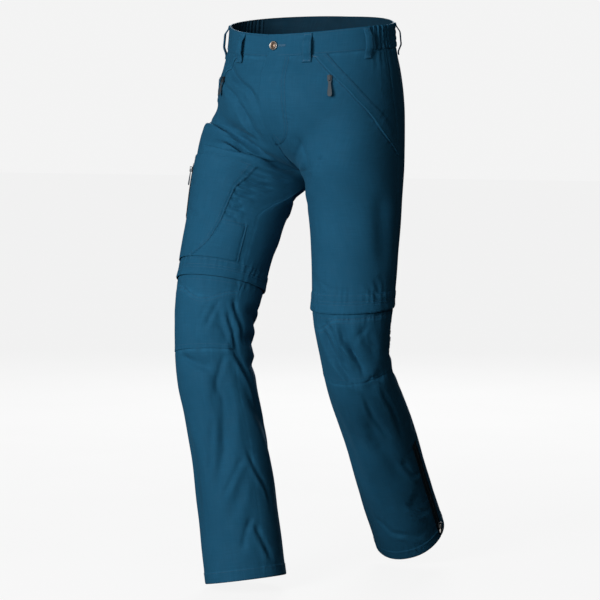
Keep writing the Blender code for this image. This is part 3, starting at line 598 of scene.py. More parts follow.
def sharp_creases(side, u, q):
    """The creases along lines; below the crotch they cross the inseam."""
    height = np.zeros(u.shape)
    for crease in SHARP:
        if crease.side != side:
            continue
        line_u, line_q = crease.line.T
        for turn in (-1, 0, 1):
            near = close_by(line_u, line_q, u + turn, q, 4 * crease.width)
            if not near.any():
                continue
            far, below, way, length = nearest(line_u, line_q, u[near] + turn, q[near])
            ends = smooth(way / (0.30 * length) + 0.12)
            ends = ends * smooth((length - way) / (0.35 * length) + 0.12)
            swell = 0.82 + 0.18 * np.sin(way / 0.009 + 30 * line_u[0])
            trough = hump(far, crease.width)
            lip = hump(below - 1.9 * crease.width, 1.1 * crease.width)
            lip = lip * hump(far - np.abs(below), crease.width)
            height[near] += crease.depth * (trough - crease.lip * lip) * ends * swell
    free = smooth((q - CROTCH - 0.01) / 0.03)
    held = smooth(np.minimum(u, 1 - u) * half_girth(q) / 0.008)
    return height * (free + (1 - free) * held) * smooth((q - WAISTBAND) / 0.015)


def ripple(way, pitch):
    """An uneven wave along a sewn or gathered edge, between about -1 and 1."""
    turn = 2 * pi * way / pitch
    wave = np.sin(turn + 1.4 * np.sin(turn / 3.7 + 1.0) + 0.6 * np.sin(turn / 1.83))
    return wave * (0.62 + 0.38 * np.sin(turn / 5.3 + 2.0))


# A sewn line: where it runs in u and q, how high the piece that carries it lies, how much it
# puckers the cloth and how long its puckers are
Sewn = namedtuple("Sewn", "side u q lift pucker pitch")


def slant_u(q):
    return spline(SLANT, q)[0]


def pocket_u(q):
    return spline(POCKET_EDGE, q)[0]


def welt_end(q):
    start = slant_u(q)
    return np.minimum(start + WELT_WIDTH, start + 0.6 * (SIDE - start))


def fly_reach(q):
    turn = np.clip((q - FLY_TURN) / (FLY_BOTTOM - FLY_TURN), 0.0, 1.0)
    return 0.012 + (FLY_STITCH - 0.012) * np.sqrt(1 - 0.94 * turn ** 2)


def knee_seam(u):
    return KNEE_SEAM_TOP + KNEE_SEAM_DIP * smooth(u / 0.14) * smooth((0.26 - u) / 0.12)


def in_u(metres, q):
    return metres / half_girth(q)


def sewn_lines():
    """Every stitched line on the cloth."""
    lines = []

    def add(side, u, q, lift=0.0, pucker=0.0, pitch=0.012):
        lines.append(Sewn(side, *spread(u, q), lift, pucker, pitch))

    def pair(side, place, lift=0.0, pucker=0.0, pitch=0.012):
        """Two rows beside a seam; place gives u and q at a distance from it."""
        add(side, *place(TOPSTITCH), lift, pucker, pitch)
        add(side, *place(TOPSTITCH + TOPSTITCH_APART), lift)

    for side in ("left", "right"):
        end = ZIP_OFF[side]
        q = np.linspace(WAISTBAND + 0.002, 0.229, 12)
        add(side, slant_u(q) - in_u(0.0020, q), q, 0.0, 0.0005, 0.011)
        pair(side, lambda off: (welt_end(q) - in_u(off, q), q), LIE + CLOTH, 0.0004, 0.010)
        back = np.linspace(WAISTBAND + 0.003, CROTCH, 16)
        if side == "left":
            pair(side, lambda off: (1 - in_u(off, back), back), 0.0, 0.0007, 0.014)
        q = np.linspace(WAISTBAND + 0.003, end - FLAP_HEIGHT, 30)
        add(side, SIDE + in_u(TOPSTITCH, q), q, 0.0, 0.0005, 0.017)
        q = np.linspace(end + 0.004, ANKLE_ZIP[0], 24)
        add(side, SIDE + in_u(TOPSTITCH, q), q, 0.0, 0.0006, 0.015)
        around = np.linspace(0.0, 1.0, 90)
        for row, pucker in zip(FLAP_ROWS, (0.0008, 0.0006, 0.0)):
            add(side, around, end - row, 0.0, pucker, 0.013)
        add(side, around, end + 0.0075, 0.0, 0.0008, 0.013)
        u = np.linspace(0.004, SIDE - 0.004, 50)
        pair(side, lambda off: (u, knee_seam(u) + off), 0.0, 0.0005)
        pair(side, lambda off: (u, KNEE_SEAM_LOW - off), 0.0, 0.0006)
        add(side, around, HEM - HEM_DEEP + 0.0016, HEM_PROUD, 0.0006, 0.015)
        for way in (-1, 1):
            q = np.linspace(ANKLE_ZIP[0] + 0.002, ANKLE_ZIP[1], 24)
            add(side, SIDE + way * in_u(ANKLE_ZIP_WIDTH / 2 + 0.0022, q), q, 0.0, 0.0006, 0.013)
        for place in ((0.014, 0.140), (0.168, ELASTIC_START - 0.004), (ELASTIC_END + 0.004, 0.994)):
            u = np.linspace(*place, 12)
            add(side, u, BAND_STITCH, BAND_PROUD)
            add(side, u, WAISTBAND - BAND_STITCH, BAND_PROUD)
        u = np.linspace(ELASTIC_START + 0.004, ELASTIC_END - 0.004, 90)
        for row in ELASTIC_ROWS:
            add(side, u, row, BAND_PROUD - 0.0002)
    q = np.linspace(WAISTBAND + 0.002, FLY_BOTTOM - 0.0022, 40)
    for way in (TOPSTITCH, TOPSTITCH + TOPSTITCH_APART):
        add("left", fly_reach(q + 0.4 * way) - in_u(way, q), q, 0.0014, 0.0004)
    q = np.linspace(FLY_BOTTOM + 0.004, CROTCH - 0.004, 8)
    pair("left", lambda off: (in_u(off, q), q), 0.0, 0.0006)
    end = ZIP_OFF["right"] - FLAP_HEIGHT - 0.001
    q = np.linspace(POCKET_TOP + 0.002, end, 40)
    pair("right", lambda off: (pocket_u(q) + in_u(off, q), q), POCKET_PROUD, 0.0010, 0.010)
    u = np.linspace(0.122, POCKET_BACK - 0.004, 40)
    pair("right", lambda off: (u, POCKET_TOP + off), POCKET_PROUD, 0.0006, 0.013)
    q = np.linspace(POCKET_TOP + 0.002, end, 20)
    add("right", POCKET_BACK - in_u(TOPSTITCH, q), q, POCKET_PROUD, 0.0005, 0.014)
    u = np.linspace(PATCH_INNER + 0.002, 0.112, 12)
    pair("right", lambda off: (u, PATCH_TOP + off), POCKET_PROUD, 0.0006, 0.010)
    q = np.linspace(PATCH_TOP + 0.002, end, 12)
    add("right", PATCH_INNER + in_u(TOPSTITCH, q), q, POCKET_PROUD, 0.0005, 0.012)
    q = np.linspace(THIGH_ZIP[1] - 0.002, THIGH_ZIP[2] + 0.002, 14)
    for way in (-1, 1):
        add("right", THIGH_ZIP[0] + way * in_u(THIGH_ZIP_WIDTH / 2 + 0.0022, q), q, POCKET_PROUD)
    return lines


SEWN_LINES = sewn_lines()


def puckers(side, u, q):
    """The small waves that sewn lines draw the cloth into."""
    height = np.zeros(u.shape)
    for line in SEWN_LINES:
        if line.side != side or not line.pucker:
            continue
        near = close_by(line.u, line.q, u, q, 3 * PUCKER_REACH)
        if not near.any():
            continue
        far, _, way, _ = nearest(line.u, line.q, u[near], q[near])
        height[near] += line.pucker * ripple(way, line.pitch) * np.exp(-far / PUCKER_REACH)
    return height


def gathers(side, u, q):
    """Ripples below the elastic sides, beside the thigh pocket and behind the knee."""
    inside = smooth((u - ELASTIC_START + 0.015) / 0.03) * smooth((ELASTIC_END + 0.015 - u) / 0.03)
    fade = np.exp(-np.maximum(q - WAISTBAND, 0) / 0.020) * smooth((q - WAISTBAND) / 0.006)
    height = 0.0017 * inside * fade * ripple(u * WAIST_ROUND, 0.0125)
    if side == "right":
        beside = np.abs(u - pocket_u(q)) * half_girth(q)
        held = smooth((q - 0.283) / 0.012) * smooth((0.378 - q) / 0.012) * smooth(u / 0.03)
        height = height + GATHER * held * np.exp(-beside / 0.012) * ripple(q + 0.2 * beside, 0.0125)
    behind = smooth((u - 0.515) / 0.03) * smooth((0.69 - u) / 0.07)
    held = smooth((q - 0.532) / 0.012) * smooth((0.626 - q) / 0.02)
    depth = KNEE_GATHER[side] * behind * held
    return height + depth * ripple(q + 0.1 * u, 0.0118)


def cloth(side, u, q, out=0.0):
    """Points of the cloth as the solids have it, moved out of it by out."""
    u, q = spread(u, q)
    lift = relief(side, u, q) + out
    return posed(side, u, q) + normals(side, u, q) * lift[..., None]


def on_both(shape, u, *others):
    """A shape's points on the left half where u is 0 or more, and on the right half below 0."""
    left, right = (shape(side, np.abs(u), *others) for side in ("left", "right"))
    return np.where((u >= 0)[..., None], left, right)


def fine(side, u, q, out=0.0):
    """Points of the fine cloth; with side "both", u is below 0 on the right half."""
    u, q, out = spread(u, q, out)
    if side == "both":
        return on_both(fine, u, q, out)
    lift = relief(side, u, q) + creases(side, u, q) + sharp_creases(side, u, q)
    lift = lift + puckers(side, u, q) + gathers(side, u, q) + out
    return posed(side, u, q) + normals(side, u, q) * lift[..., None]


def outward(side, u, q):
    u, q = spread(u, q)
    return on_both(normals, u, q) if side == "both" else normals(side, u, q)


# Materials
PETROL = (0.0085, 0.0850, 0.1650)
PETROL_WORN = (0.0130, 0.1040, 0.1970)
ELASTIC_BLUE = (0.0060, 0.0640, 0.1260)
# Painted shade: a navy darker than the cloth, put on the inside of the waistband to stand in for
# the shade inside the waist
PAINTED_SHADE_NAVY = (0.0020, 0.0230, 0.0440)
THREAD_BLUE = (0.0080, 0.0740, 0.1440)
TAPE_BLACK = (0.0070, 0.0120, 0.0170)
TOOTH_BLACK = (0.0100, 0.0150, 0.0200)
STEEL = (0.34, 0.33, 0.31)
COPPER = (0.17, 0.12, 0.09)
DARK_STEEL = (0.07, 0.08, 0.09)
PULL_GREY = (0.045, 0.065, 0.082)


class Nodes:
    """A material's node tree, built with few words."""

    def __init__(self, name):
        self.material = bpy.data.materials.new(name)
        self.material.use_nodes = True
        self.tree = self.material.node_tree
        self.shader = self.tree.nodes["Principled BSDF"]

    def add(self, kind, **values):
        node = self.tree.nodes.new(kind)
        for key, value in values.items():
            if hasattr(node, key):
                setattr(node, key, value)
            else:
                node.inputs[key.replace("_", " ")].default_value = value
        return node

    def link(self, start, end):
        self.tree.links.new(start, end)

    def set(self, **values):
        """Set the shader's inputs: a socket is linked, any other value is put in."""
        for key, value in values.items():
            socket = self.shader.inputs[key.replace("_", " ")]
            if hasattr(value, "is_linked"):
                self.link(value, socket)
            else:
                socket.default_value = value

    def math(self, operation, a, b=0.0):
        node = self.tree.nodes.new("ShaderNodeMath")
        node.operation = operation
        for socket, value in zip(node.inputs, (a, b)):
            if hasattr(value, "is_linked"):
                self.link(value, socket)
            else:
                socket.default_value = value
        return node.outputs[0]

    def noise(self, source, scale, detail=2.0):
        node = self.add("ShaderNodeTexNoise", Scale=scale, Detail=detail)
        self.link(source, node.inputs["Vector"])
        return node.outputs["Fac"]

    def between(self, amount, low, high):
        node = self.tree.nodes.new("ShaderNodeMix")
        node.data_type = "RGBA"
        self.link(amount, node.inputs["Factor"])
        node.inputs["A"].default_value = (*low, 1.0)
        node.inputs["B"].default_value = (*high, 1.0)
        return node.outputs["Result"]

    def ranged(self, amount, low, high, start=0.0, end=1.0):
        node = self.tree.nodes.new("ShaderNodeMapRange")
        self.link(amount, node.inputs["Value"])
        names = ("From Min", "From Max", "To Min", "To Max")
        for name, value in zip(names, (start, end, low, high)):
            node.inputs[name].default_value = value
        return node.outputs["Result"]

    def bump(self, height, distance, strength, under=None):
        node = self.add("ShaderNodeBump", Distance=distance, Strength=strength)
        self.link(height, node.inputs["Height"])
        if under is not None:
            self.link(under, node.inputs["Normal"])
        return node.outputs["Normal"]


def times(colour, factor):
    return tuple(value * factor for value in colour)


def cloth_look(name, colour, worn, thread, depth, sheen):
    """A fine plain weave: threads over and under, slight unevenness, paler along the seams."""
    made = Nodes(name)
    place = made.tree.nodes.new("ShaderNodeTexCoord")
    split = made.tree.nodes.new("ShaderNodeSeparateXYZ")
    made.link(place.outputs["UV"], split.inputs[0])
    warp = made.math("SINE", made.math("MULTIPLY", split.outputs["X"], 2 * pi / thread))
    weft = made.math("SINE", made.math("MULTIPLY", split.outputs["Y"], 2 * pi / thread))
    weave = made.math("MULTIPLY", warp, weft)
    slub = made.noise(place.outputs["UV"], 900.0, 3.0)
    rub = made.noise(place.outputs["Object"], 55.0, 4.0)
    patch = made.noise(place.outputs["Object"], 9.0, 3.0)
    seam = made.tree.nodes.new("ShaderNodeAttribute")
    seam.attribute_name = "seam"
    wear = made.math("MULTIPLY", seam.outputs["Fac"], made.ranged(rub, 0.1, 0.9, 0.35, 0.65))
    even = made.ranged(patch, 0.0, 0.40, 0.3, 0.7)
    streaks = []
    for along in ((520.0, 26.0, 1.0), (26.0, 520.0, 1.0)):
        stretch = made.tree.nodes.new("ShaderNodeVectorMath")
        stretch.operation = "MULTIPLY"
        stretch.inputs[1].default_value = along
        made.link(place.outputs["UV"], stretch.inputs[0])
        streaks.append(made.ranged(made.noise(stretch.outputs[0], 1.0, 3.0), -0.20, 0.20, 0.3, 0.7))
    even = made.math("ADD", even, made.math("ADD", *streaks))
    grain = made.ranged(slub, -0.14, 0.14, 0.3, 0.7)
    amount = made.math("ADD", made.math("ADD", even, grain), wear)
    threads = made.math("ADD", amount, made.math("MULTIPLY", weave, 0.07))
    rubbed = made.bump(rub, 0.00030, 0.5, made.bump(slub, 0.00012, 0.5))
    made.set(
        Base_Color=made.between(threads, times(colour, 0.88), worn),
        Roughness=made.ranged(rub, 0.74, 0.88, 0.3, 0.7),
        Normal=made.bump(weave, depth, 0.7, rubbed),
        Sheen_Weight=sheen,
        Sheen_Roughness=0.45,
        Sheen_Tint=(0.20, 0.62, 0.95, 1.0),
        Specular_IOR_Level=0.16,
    )
    return made.material


def plain_look(name, low, high, roughness, metallic=0.0, scale=600.0, depth=0.00006):
    """Thread, moulded plastic or metal, with fine unevenness in colour, gloss and height."""
    made = Nodes(name)
    place = made.tree.nodes.new("ShaderNodeTexCoord")
    grain = made.noise(place.outputs["Object"], scale, 3.0)
    gloss = made.noise(place.outputs["Object"], scale * 0.3, 2.0)
    made.set(
        Base_Color=made.between(made.ranged(grain, 0.0, 1.0, 0.3, 0.7), low, high),
        Roughness=made.ranged(gloss, roughness - 0.07, roughness + 0.07, 0.3, 0.7),
        Normal=made.bump(grain, depth, 0.6),
        Metallic=metallic,
    )
    return made.material


# The paler end of the painted-shade navy inside the waistband
PAINTED_SHADE_NAVY_PALE = times(PAINTED_SHADE_NAVY, 1.5)
TAPE_WORN = times(TAPE_BLACK, 2.0)
DARK_LOW = times(DARK_STEEL, 0.8)
PULL_LOW = times(PULL_GREY, 0.85)
THREAD_RANGE = times(THREAD_BLUE, 0.85), times(THREAD_BLUE, 1.25)
LOOKS = {
    "cloth": cloth_look("petrol_cloth", PETROL, PETROL_WORN, 0.00075, 0.00010, 0.08),
    "elastic": cloth_look("elastic_cloth", ELASTIC_BLUE, PETROL, 0.00110, 0.00018, 0.08),
    # Painted shade: the dark navy cloth that the inside of the waistband gets in place of shade
    "painted_shade_inside": cloth_look("painted_shade_inside_cloth", PAINTED_SHADE_NAVY, PAINTED_SHADE_NAVY_PALE, 0.00060, 0.00008, 0.03),
    "tape": cloth_look("zip_tape_weave", TAPE_BLACK, TAPE_WORN, 0.00070, 0.00010, 0.05),
    "thread": plain_look("sewing_thread", *THREAD_RANGE, 0.60),
    "teeth": plain_look("zip_teeth", TOOTH_BLACK, times(TOOTH_BLACK, 1.8), 0.38),
    "steel": plain_look("satin_steel", times(STEEL, 0.85), STEEL, 0.42, 1.0, 900.0, 0.00002),
    "copper": plain_look("coppery_centre", times(COPPER, 0.8), COPPER, 0.50, 1.0, 900.0, 0.00002),
    "dark_steel": plain_look("dark_steel", DARK_LOW, DARK_STEEL, 0.48, 1.0, 900.0, 0.00003),
    "pull": plain_look("moulded_grey", PULL_LOW, PULL_GREY, 0.60, 0.0, 1200.0, 0.00003),
}


def build(name, points, quads, look, uv=None, seam=None, sharp=50):
    """One mesh object from arrays; it rides with the trousers."""
    mesh = bpy.data.meshes.new(name)
    mesh.vertices.add(len(points))
    mesh.vertices.foreach_set("co", np.asarray(points, np.float32).ravel())
    mesh.loops.add(quads.size)
    mesh.loops.foreach_set("vertex_index", quads.astype(np.int32).ravel())
    mesh.polygons.add(len(quads))
    mesh.polygons.foreach_set("loop_start", np.arange(0, quads.size, 4, dtype=np.int32))
    mesh.update(calc_edges=True)
    mesh.validate()
    if uv is not None:
        layer = mesh.uv_layers.new(name="metres")
        layer.data.foreach_set("uv", uv[quads.ravel()].astype(np.float32).ravel())
        mark = mesh.attributes.new("seam", "FLOAT", "POINT")
        mark.data.foreach_set("value", seam.astype(np.float32))
    mesh.shade_smooth()
    mesh.set_sharp_from_angle(angle=radians(sharp))
    mesh.materials.append(LOOKS[look])
    thing = bpy.data.objects.new(name, mesh)
    bpy.context.scene.collection.objects.link(thing)
    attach(thing, "trousers")
    return thing


def closed(index):
    """A grid of numbers with its first column again after its last."""
    return np.concatenate([index, index[..., :1]], axis=-1)


def squares(index):
    """The faces between neighbours in a grid of numbers, or in a row of grids."""
    corners = index[..., :-1, :-1], index[..., 1:, :-1], index[..., 1:, 1:], index[..., :-1, 1:]
    return np.stack(corners, -1).reshape(-1, 4)


def two_sided(rows, columns, ring, flip):
    """The faces of a closed sheet over a grid of points and the same grid moved in."""
    index = np.arange(rows * columns).reshape(rows, columns)
    if ring:
        index = closed(index)
    deep = rows * columns
    outer = squares(index)
    faces = [outer, outer[:, ::-1] + deep]
    rims = [(index[-1, :-1], index[-1, 1:]), (index[0, 1:], index[0, :-1])]
    if not ring:
        rims += [(index[:-1, 0], index[1:, 0]), (index[1:, -1], index[:-1, -1])]
    for start, end in rims:
        faces.append(np.stack([end, start, start + deep, end + deep], -1))
    faces = np.concatenate(faces)
    return faces[:, ::-1] if flip else faces


def sheet(node, side, u, q, lift=0.0, thick=CLOTH, look="cloth", ring=False, edges="",
          painted_shade_inside=None):
    """A cloth piece over a grid of u and q, in place of its node; edges names its sewn edges: l,
    r, t and b, or i and j for the left and right where that is the inseam."""
    name = node + ("_tape" if look == "tape" else "_cloth")
    u, q, lift = np.broadcast_arrays(u, q, lift)
    across = np.zeros(u.shape)
    across[:, 1:] = np.cumsum(np.abs(np.diff(u, axis=1)) * half_girth(q[:, 1:]), axis=1)
    down = q - q[:1]
    near, dip = np.full(u.shape, 1.0), np.zeros(u.shape)
    for edge in edges:
        from_right = across[:, -1:] - across
        distance = {"t": down, "b": q[-1:] - q, "r": from_right, "j": from_right}.get(edge, across)
        depth = INSEAM_DIP if edge in "ij" else SEAM_DIP
        near = np.minimum(near, distance)
        dip = np.maximum(dip, depth * hump(distance, SEAM_REACH))
    lift = lift - dip
    layers = []
    for level in (lift, lift - thick):
        layer = fine(side, u, q, level)
        for edge, column in (("i", 0), ("j", -1)):
            if edge in edges:
                middle = q[:, column] < CROTCH + 0.001
                layer[middle, column, 0] = 0.2 * SEAM if side == "left" else -0.2 * SEAM
        layers.append(layer.reshape(-1, 3))
    points = np.concatenate(layers)
    quads = two_sided(*u.shape, ring, side == "right")
    uv = np.stack([(u * half_girth(q)).ravel(), q.ravel()], -1)
    seam = hump(near - 0.003, 0.003).ravel()
    thing = build(name, points, quads, look, np.tile(uv, (2, 1)), np.tile(seam, 2))
    # Painted shade: the inner faces take the second, dark navy look, which stands in for the shade
    # inside the waist
    if painted_shade_inside:
        thing.data.materials.append(LOOKS[painted_shade_inside])
        inside = np.all(quads >= u.size, axis=1).astype(np.int32)
        thing.data.polygons.foreach_set("material_index", inside)
    smooth_points = on_both(posed, u, q) if side == "both" else posed(side, u, q)
    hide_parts(node)
    return thing


def run(*ends, step=STEP):
    """Places from the first end to the last, about a step apart, keeping every end."""
    parts = []
    for start, end in zip(ends[:-1], ends[1:]):
        parts.append(np.linspace(start, end, max(1, round(abs(end - start) / step)) + 1)[:-1])
    return np.concatenate([*parts, [ends[-1]]])


def close(start, end, step=STEP):
    """As run, with closer places beside both ends, where a seam dips."""
    size = min(1.0, (end - start) / 0.03)
    near = np.array((0.0, 0.0008, 0.0018, 0.0030, 0.0048)) * size
    return run(*(start + near), *(end - near[::-1]), step=step)


def shares(width, step=STEP):
    return close(0.0, width, step) / width


def upper_rows(end, step):
    """Rows from the waistband down to end, close together at the slant's end and the crotch."""
    parts = (WAISTBAND, SLANT_END, CROTCH, end)
    rows = [close(low, high, step)[1:] for low, high in zip(parts, parts[1:])]
    return np.concatenate([[WAISTBAND], *rows])


def upper_pieces(side):
    """Front, side front, welt and back, from the waistband to the zip-off line."""
    end = ZIP_OFF[side] - COIL_HEIGHT
    q = upper_rows(end, 0.0036)[:, None]
    sheet("back_" + side, side, SIDE + shares(0.29) * (1 - SIDE), q, edges="ljt")
    q = upper_rows(end, FINE_STEP)
    below = q > SLANT_END + 0.0005
    edge = np.where(below, SIDE, slant_u(np.minimum(q, SLANT_END)))
    q2 = q[:, None]
    u = shares(0.29, FINE_STEP) * edge[:, None]
    lift = 0.0
    if side == "right":
        lift = -FLY_SUNK * smooth((u - 0.004) / 0.006) * smooth((0.200 - u) / 0.180)
        lift = lift * smooth((q2 - WAISTBAND) / 0.02) * smooth((0.200 - q2) / 0.07)
    sheet("front_" + side, side, u, q2, lift, edges="irt")
    q = q[~below]
    q2 = q[:, None]
    start = slant_u(q)[:, None]
    u = start + shares(0.16) * (SIDE - start)
    sheet("side_front_" + side, side, u, q2, edges="lrt")
    t = shares(0.026, 0.003)
    u = start + t * (welt_end(q)[:, None] - start)
    roll = 0.0006 * hump(t - 0.10, 0.12) - 0.0008 * hump(t, 0.05)
    lift = LIE + 0.0010 + roll - 0.0005 * smooth((t - 0.9) / 0.1)
    sheet("pocket_welt_" + side, side, u, q2, lift, OVERLAY)


def flap_lift(u, q, end):
    """How far the flap stands off the cloth: sewn in at its top, waving at its free edge."""
    t = np.clip((q - end + FLAP_HEIGHT) / FLAP_HEIGHT, 0.0, 1.0)
    wave = 0.0004 * ripple(u * WAIST_ROUND, 0.021) + 0.0006 * ripple(u * WAIST_ROUND + 0.3, 0.052)
    return -0.0003 + (LIE + 0.0012) * smooth(t / 0.10) + 0.0028 * t ** 1.7 + wave * t ** 2


def zip_off_pieces(side):
    """The coil ring, its flap with a waving free edge, and the coil."""
    end = ZIP_OFF[side]
    u = np.linspace(0.0, 1.0, 201)[:-1]
    q = run(end - COIL_HEIGHT, end, step=0.0025)[:, None]
    sheet("zip_ring_" + side, side, u, q, -0.0006, 0.0006, "tape", ring=True)
    q = close(end - FLAP_HEIGHT, end, 0.0014)[:, None]
    roll = 0.0010 * hump(end - q, 0.0014)
    groove = sum(0.0007 * hump(q - end + row, 0.0012) for row in FLAP_ROWS)
    sheet("zip_flap_" + side, side, u, q, flap_lift(u, q, end) - roll - groove, OVERLAY,
          ring=True)
    coil(side, u, end - 0.0042, -0.0002, "zip_off_coil_" + side)


def lower_pieces(side):
    """Knee top, knee, shin, calf and ankle zip."""
    top = ZIP_OFF[side]
    t = shares(0.22, FINE_STEP)
    u = t * SIDE
    seam = knee_seam(u)
    down = shares(KNEE_SEAM_TOP - top + 0.010)[:, None]
    sheet("knee_top_" + side, side, u, top + down * (seam - top), edges="irb")
    down = shares(KNEE_SEAM_LOW - KNEE_SEAM_TOP, 0.0024)[:, None]
    q = seam + down * (KNEE_SEAM_LOW - seam)
    step = KNEE_STEP * hump(KNEE_SEAM_LOW - q, 0.004)
    sheet("knee_" + side, side, u, q, step, edges="irt")
    q = hem_rows(KNEE_SEAM_LOW)
    sheet("shin_" + side, side, u, q, hem_lift(q), edges="irt")
    q = hem_rows(top)
    sheet("calf_" + side, side, SIDE + t * (1 - SIDE), q, hem_lift(q), edges="lj")
    q = close(*ANKLE_ZIP)[:, None]
    half = ANKLE_ZIP_WIDTH / 2
    u = SIDE + in_u(np.linspace(-half, half, 9), q)
    sheet("ankle_zip_" + side, side, u, q, 0.0013, 0.0008, "tape")
    q = np.linspace(ANKLE_ZIP[0] + 0.002, ANKLE_ZIP[1] - 0.002, 160)
    coil(side, np.full(160, SIDE), q, 0.0015, "ankle_coil_" + side)


def hem_rows(start):
    """Rows of cloth down to the hem, close together at the hem's stitching."""
    turn = HEM - HEM_DEEP
    return np.concatenate([close(start, turn), close(turn, HEM)[1:]])[:, None]


def hem_lift(q):
    """The turned-up hem stands a little proud, and its edge rolls in."""
    start = HEM - HEM_DEEP
    turned = HEM_PROUD * smooth((q - start + 0.0004) / 0.0012)
    return turned - 0.0009 * hump(HEM - q, 0.0011)


def fly():
    """The left front's edge, one layer proud, from its free edge to the curved stitching."""
    q = close(WAISTBAND, FLY_BOTTOM)
    t = shares(0.045, 0.003)
    reach = fly_reach(q)[:, None]
    u = FLY_EDGE + t * (reach - FLY_EDGE)
    turn = smooth((q - FLY_TURN) / (FLY_BOTTOM - FLY_TURN))[:, None]
    roll = 0.0010 * hump(t, 0.02)
    lift = 0.0036 - 0.0022 * smooth(t / 0.45) + 0.0004 * turn * (1 - t)
    sink = smooth((t - 0.80) / 0.20)
    lift = lift * (1 - sink) - 0.0004 * sink - roll
    sheet("fly", "both", u, q[:, None], lift, 0.0007)


def thigh_pocket():
    """The pocket on the right thigh, gathered along its curved seam, its inset and its zip."""
    end = ZIP_OFF["right"] - FLAP_HEIGHT - 0.0006
    q = close(POCKET_TOP, end)[:, None]
    start = pocket_u(q)
    t = shares(0.20)
    u = start + t * (POCKET_BACK - start)
    from_edge = t * (POCKET_BACK - start) * half_girth(q)
    gather = 0.0005 * ripple(q, 0.0145) * np.exp(-from_edge / 0.014) * smooth(from_edge / 0.004)
    puff = 0.0008 * smooth(from_edge / 0.02) * smooth((0.16 - from_edge) / 0.10)
    rim = pocket_rim(from_edge, (1 - t) * (POCKET_BACK - start) * half_girth(q), q - POCKET_TOP)
    sheet("thigh_pocket", "right", u, q, POCKET_PROUD + gather + puff - rim, OVERLAY)
    q = close(PATCH_TOP, end)[:, None]
    start, stop = PATCH_INNER, pocket_u(q) - 0.0015
    t = shares(0.05)
    u = start + t * (stop - start)
    width = (stop - start) * half_girth(q)
    rim = pocket_rim(t * width, (1 - t) * width, q - PATCH_TOP)
    gather = 0.0009 * ripple(q, 0.011) * np.exp(-(1 - t) * width / 0.010)
    gather = gather - 0.0012 * hump(t * width, 0.012) - 0.0004 * hump(q - PATCH_TOP, 0.010)
    sheet("thigh_patch", "right", u, q, POCKET_PROUD + 0.0005 + gather - rim, OVERLAY)
    place, top, low = THIGH_ZIP
    q = close(top, low)[:, None]
    half = THIGH_ZIP_WIDTH / 2
    u = place + in_u(np.linspace(-half, half, 7), q)
    sheet("thigh_zip", "right", u, q, POCKET_PROUD + 0.0012, 0.0007, "tape")
    q = np.linspace(top + 0.002, low - 0.002, 70)
    coil("right", np.full(70, place), q, POCKET_PROUD + 0.0014, "thigh_coil")


def pocket_rim(*distances):
    """How far a sewn-on piece sinks at its edges and in the groove of its stitches."""
    rim = 0.0
    for distance in distances:
        rim = np.maximum(rim, RIM_DIP * hump(distance, 0.0012))
        rim = np.maximum(rim, GROOVE_DIP * hump(distance - GROOVE_AT, 0.0014))
    return rim


def waistband():
    """The band in five pieces: plain fronts, gathered elastic sides and the plain back."""
    q = close(0.0, WAISTBAND, 0.003)[:, None]
    edge = 0.0013 * hump(q, 0.0013) + 0.0010 * hump(WAISTBAND - q, 0.0013)
    sewn = hump(q - BAND_STITCH, 0.0012) + hump(WAISTBAND - BAND_STITCH - q, 0.0012)
    sewn = 0.0004 * sewn
    lap = (FLY_EDGE, FLY_EDGE + 0.001, FLY_EDGE + 0.003)
    pieces = {
        "front_left": run(*lap, ELASTIC_START, step=BAND_STEP),
        "front_right": run(-ELASTIC_START, FLY_EDGE - 0.0006, step=BAND_STEP),
        "elastic_left": np.linspace(ELASTIC_START, ELASTIC_END, 150),
        "elastic_right": np.linspace(-ELASTIC_END, -ELASTIC_START, 150),
    }
    for name, place in pieces.items():
        wave, elastic = 0.0, "elastic" in name
        if elastic:
            t = (np.abs(place) - ELASTIC_START) / (ELASTIC_END - ELASTIC_START)
            held = np.prod([1 - 0.65 * hump(q - row, 0.0022) for row in ELASTIC_ROWS], axis=0)
            ends = smooth(t / 0.05) * smooth((1 - t) / 0.05)
            drift = 1.1 * np.sin(9 * t + ("left" in name))
            main_wave = ELASTIC_DEPTH * np.sin(2 * pi * ELASTIC_WAVES * t + drift)
            drift = 0.0012 * np.sin(q * 90 + place * 60)
            small = 0.0008 * ripple(np.abs(place) * WAIST_ROUND + drift, 0.0046)
            wave = (main_wave + small) * held * ends
        if name == "front_right":
            wave = -0.0026 * smooth((place + 0.17) / 0.15)
        if name == "front_left":
            wave = 0.0016 * smooth((0.06 - place) / 0.06) - 0.0008 * hump(place - FLY_EDGE, 0.002)
        lift = BAND_PROUD + wave - edge - (0 if elastic else sewn)
        # Each piece's inside is drawn in the dark navy look, as painted shade
        sheet("waistband_" + name, "both", place, q, lift, BAND_THICK,
              "elastic" if elastic else "cloth",
              painted_shade_inside="painted_shade_inside")
    left = run(ELASTIC_END, 1.0, step=BAND_STEP)
    right = run(BAND_STEP - 1.0, -ELASTIC_END, step=BAND_STEP)
    # The back's inside is drawn in the dark navy look too, as painted shade
    sheet("waistband_back", "both", np.concatenate([left, right]), q, BAND_PROUD - edge - sewn,
          BAND_THICK, painted_shade_inside="painted_shade_inside")


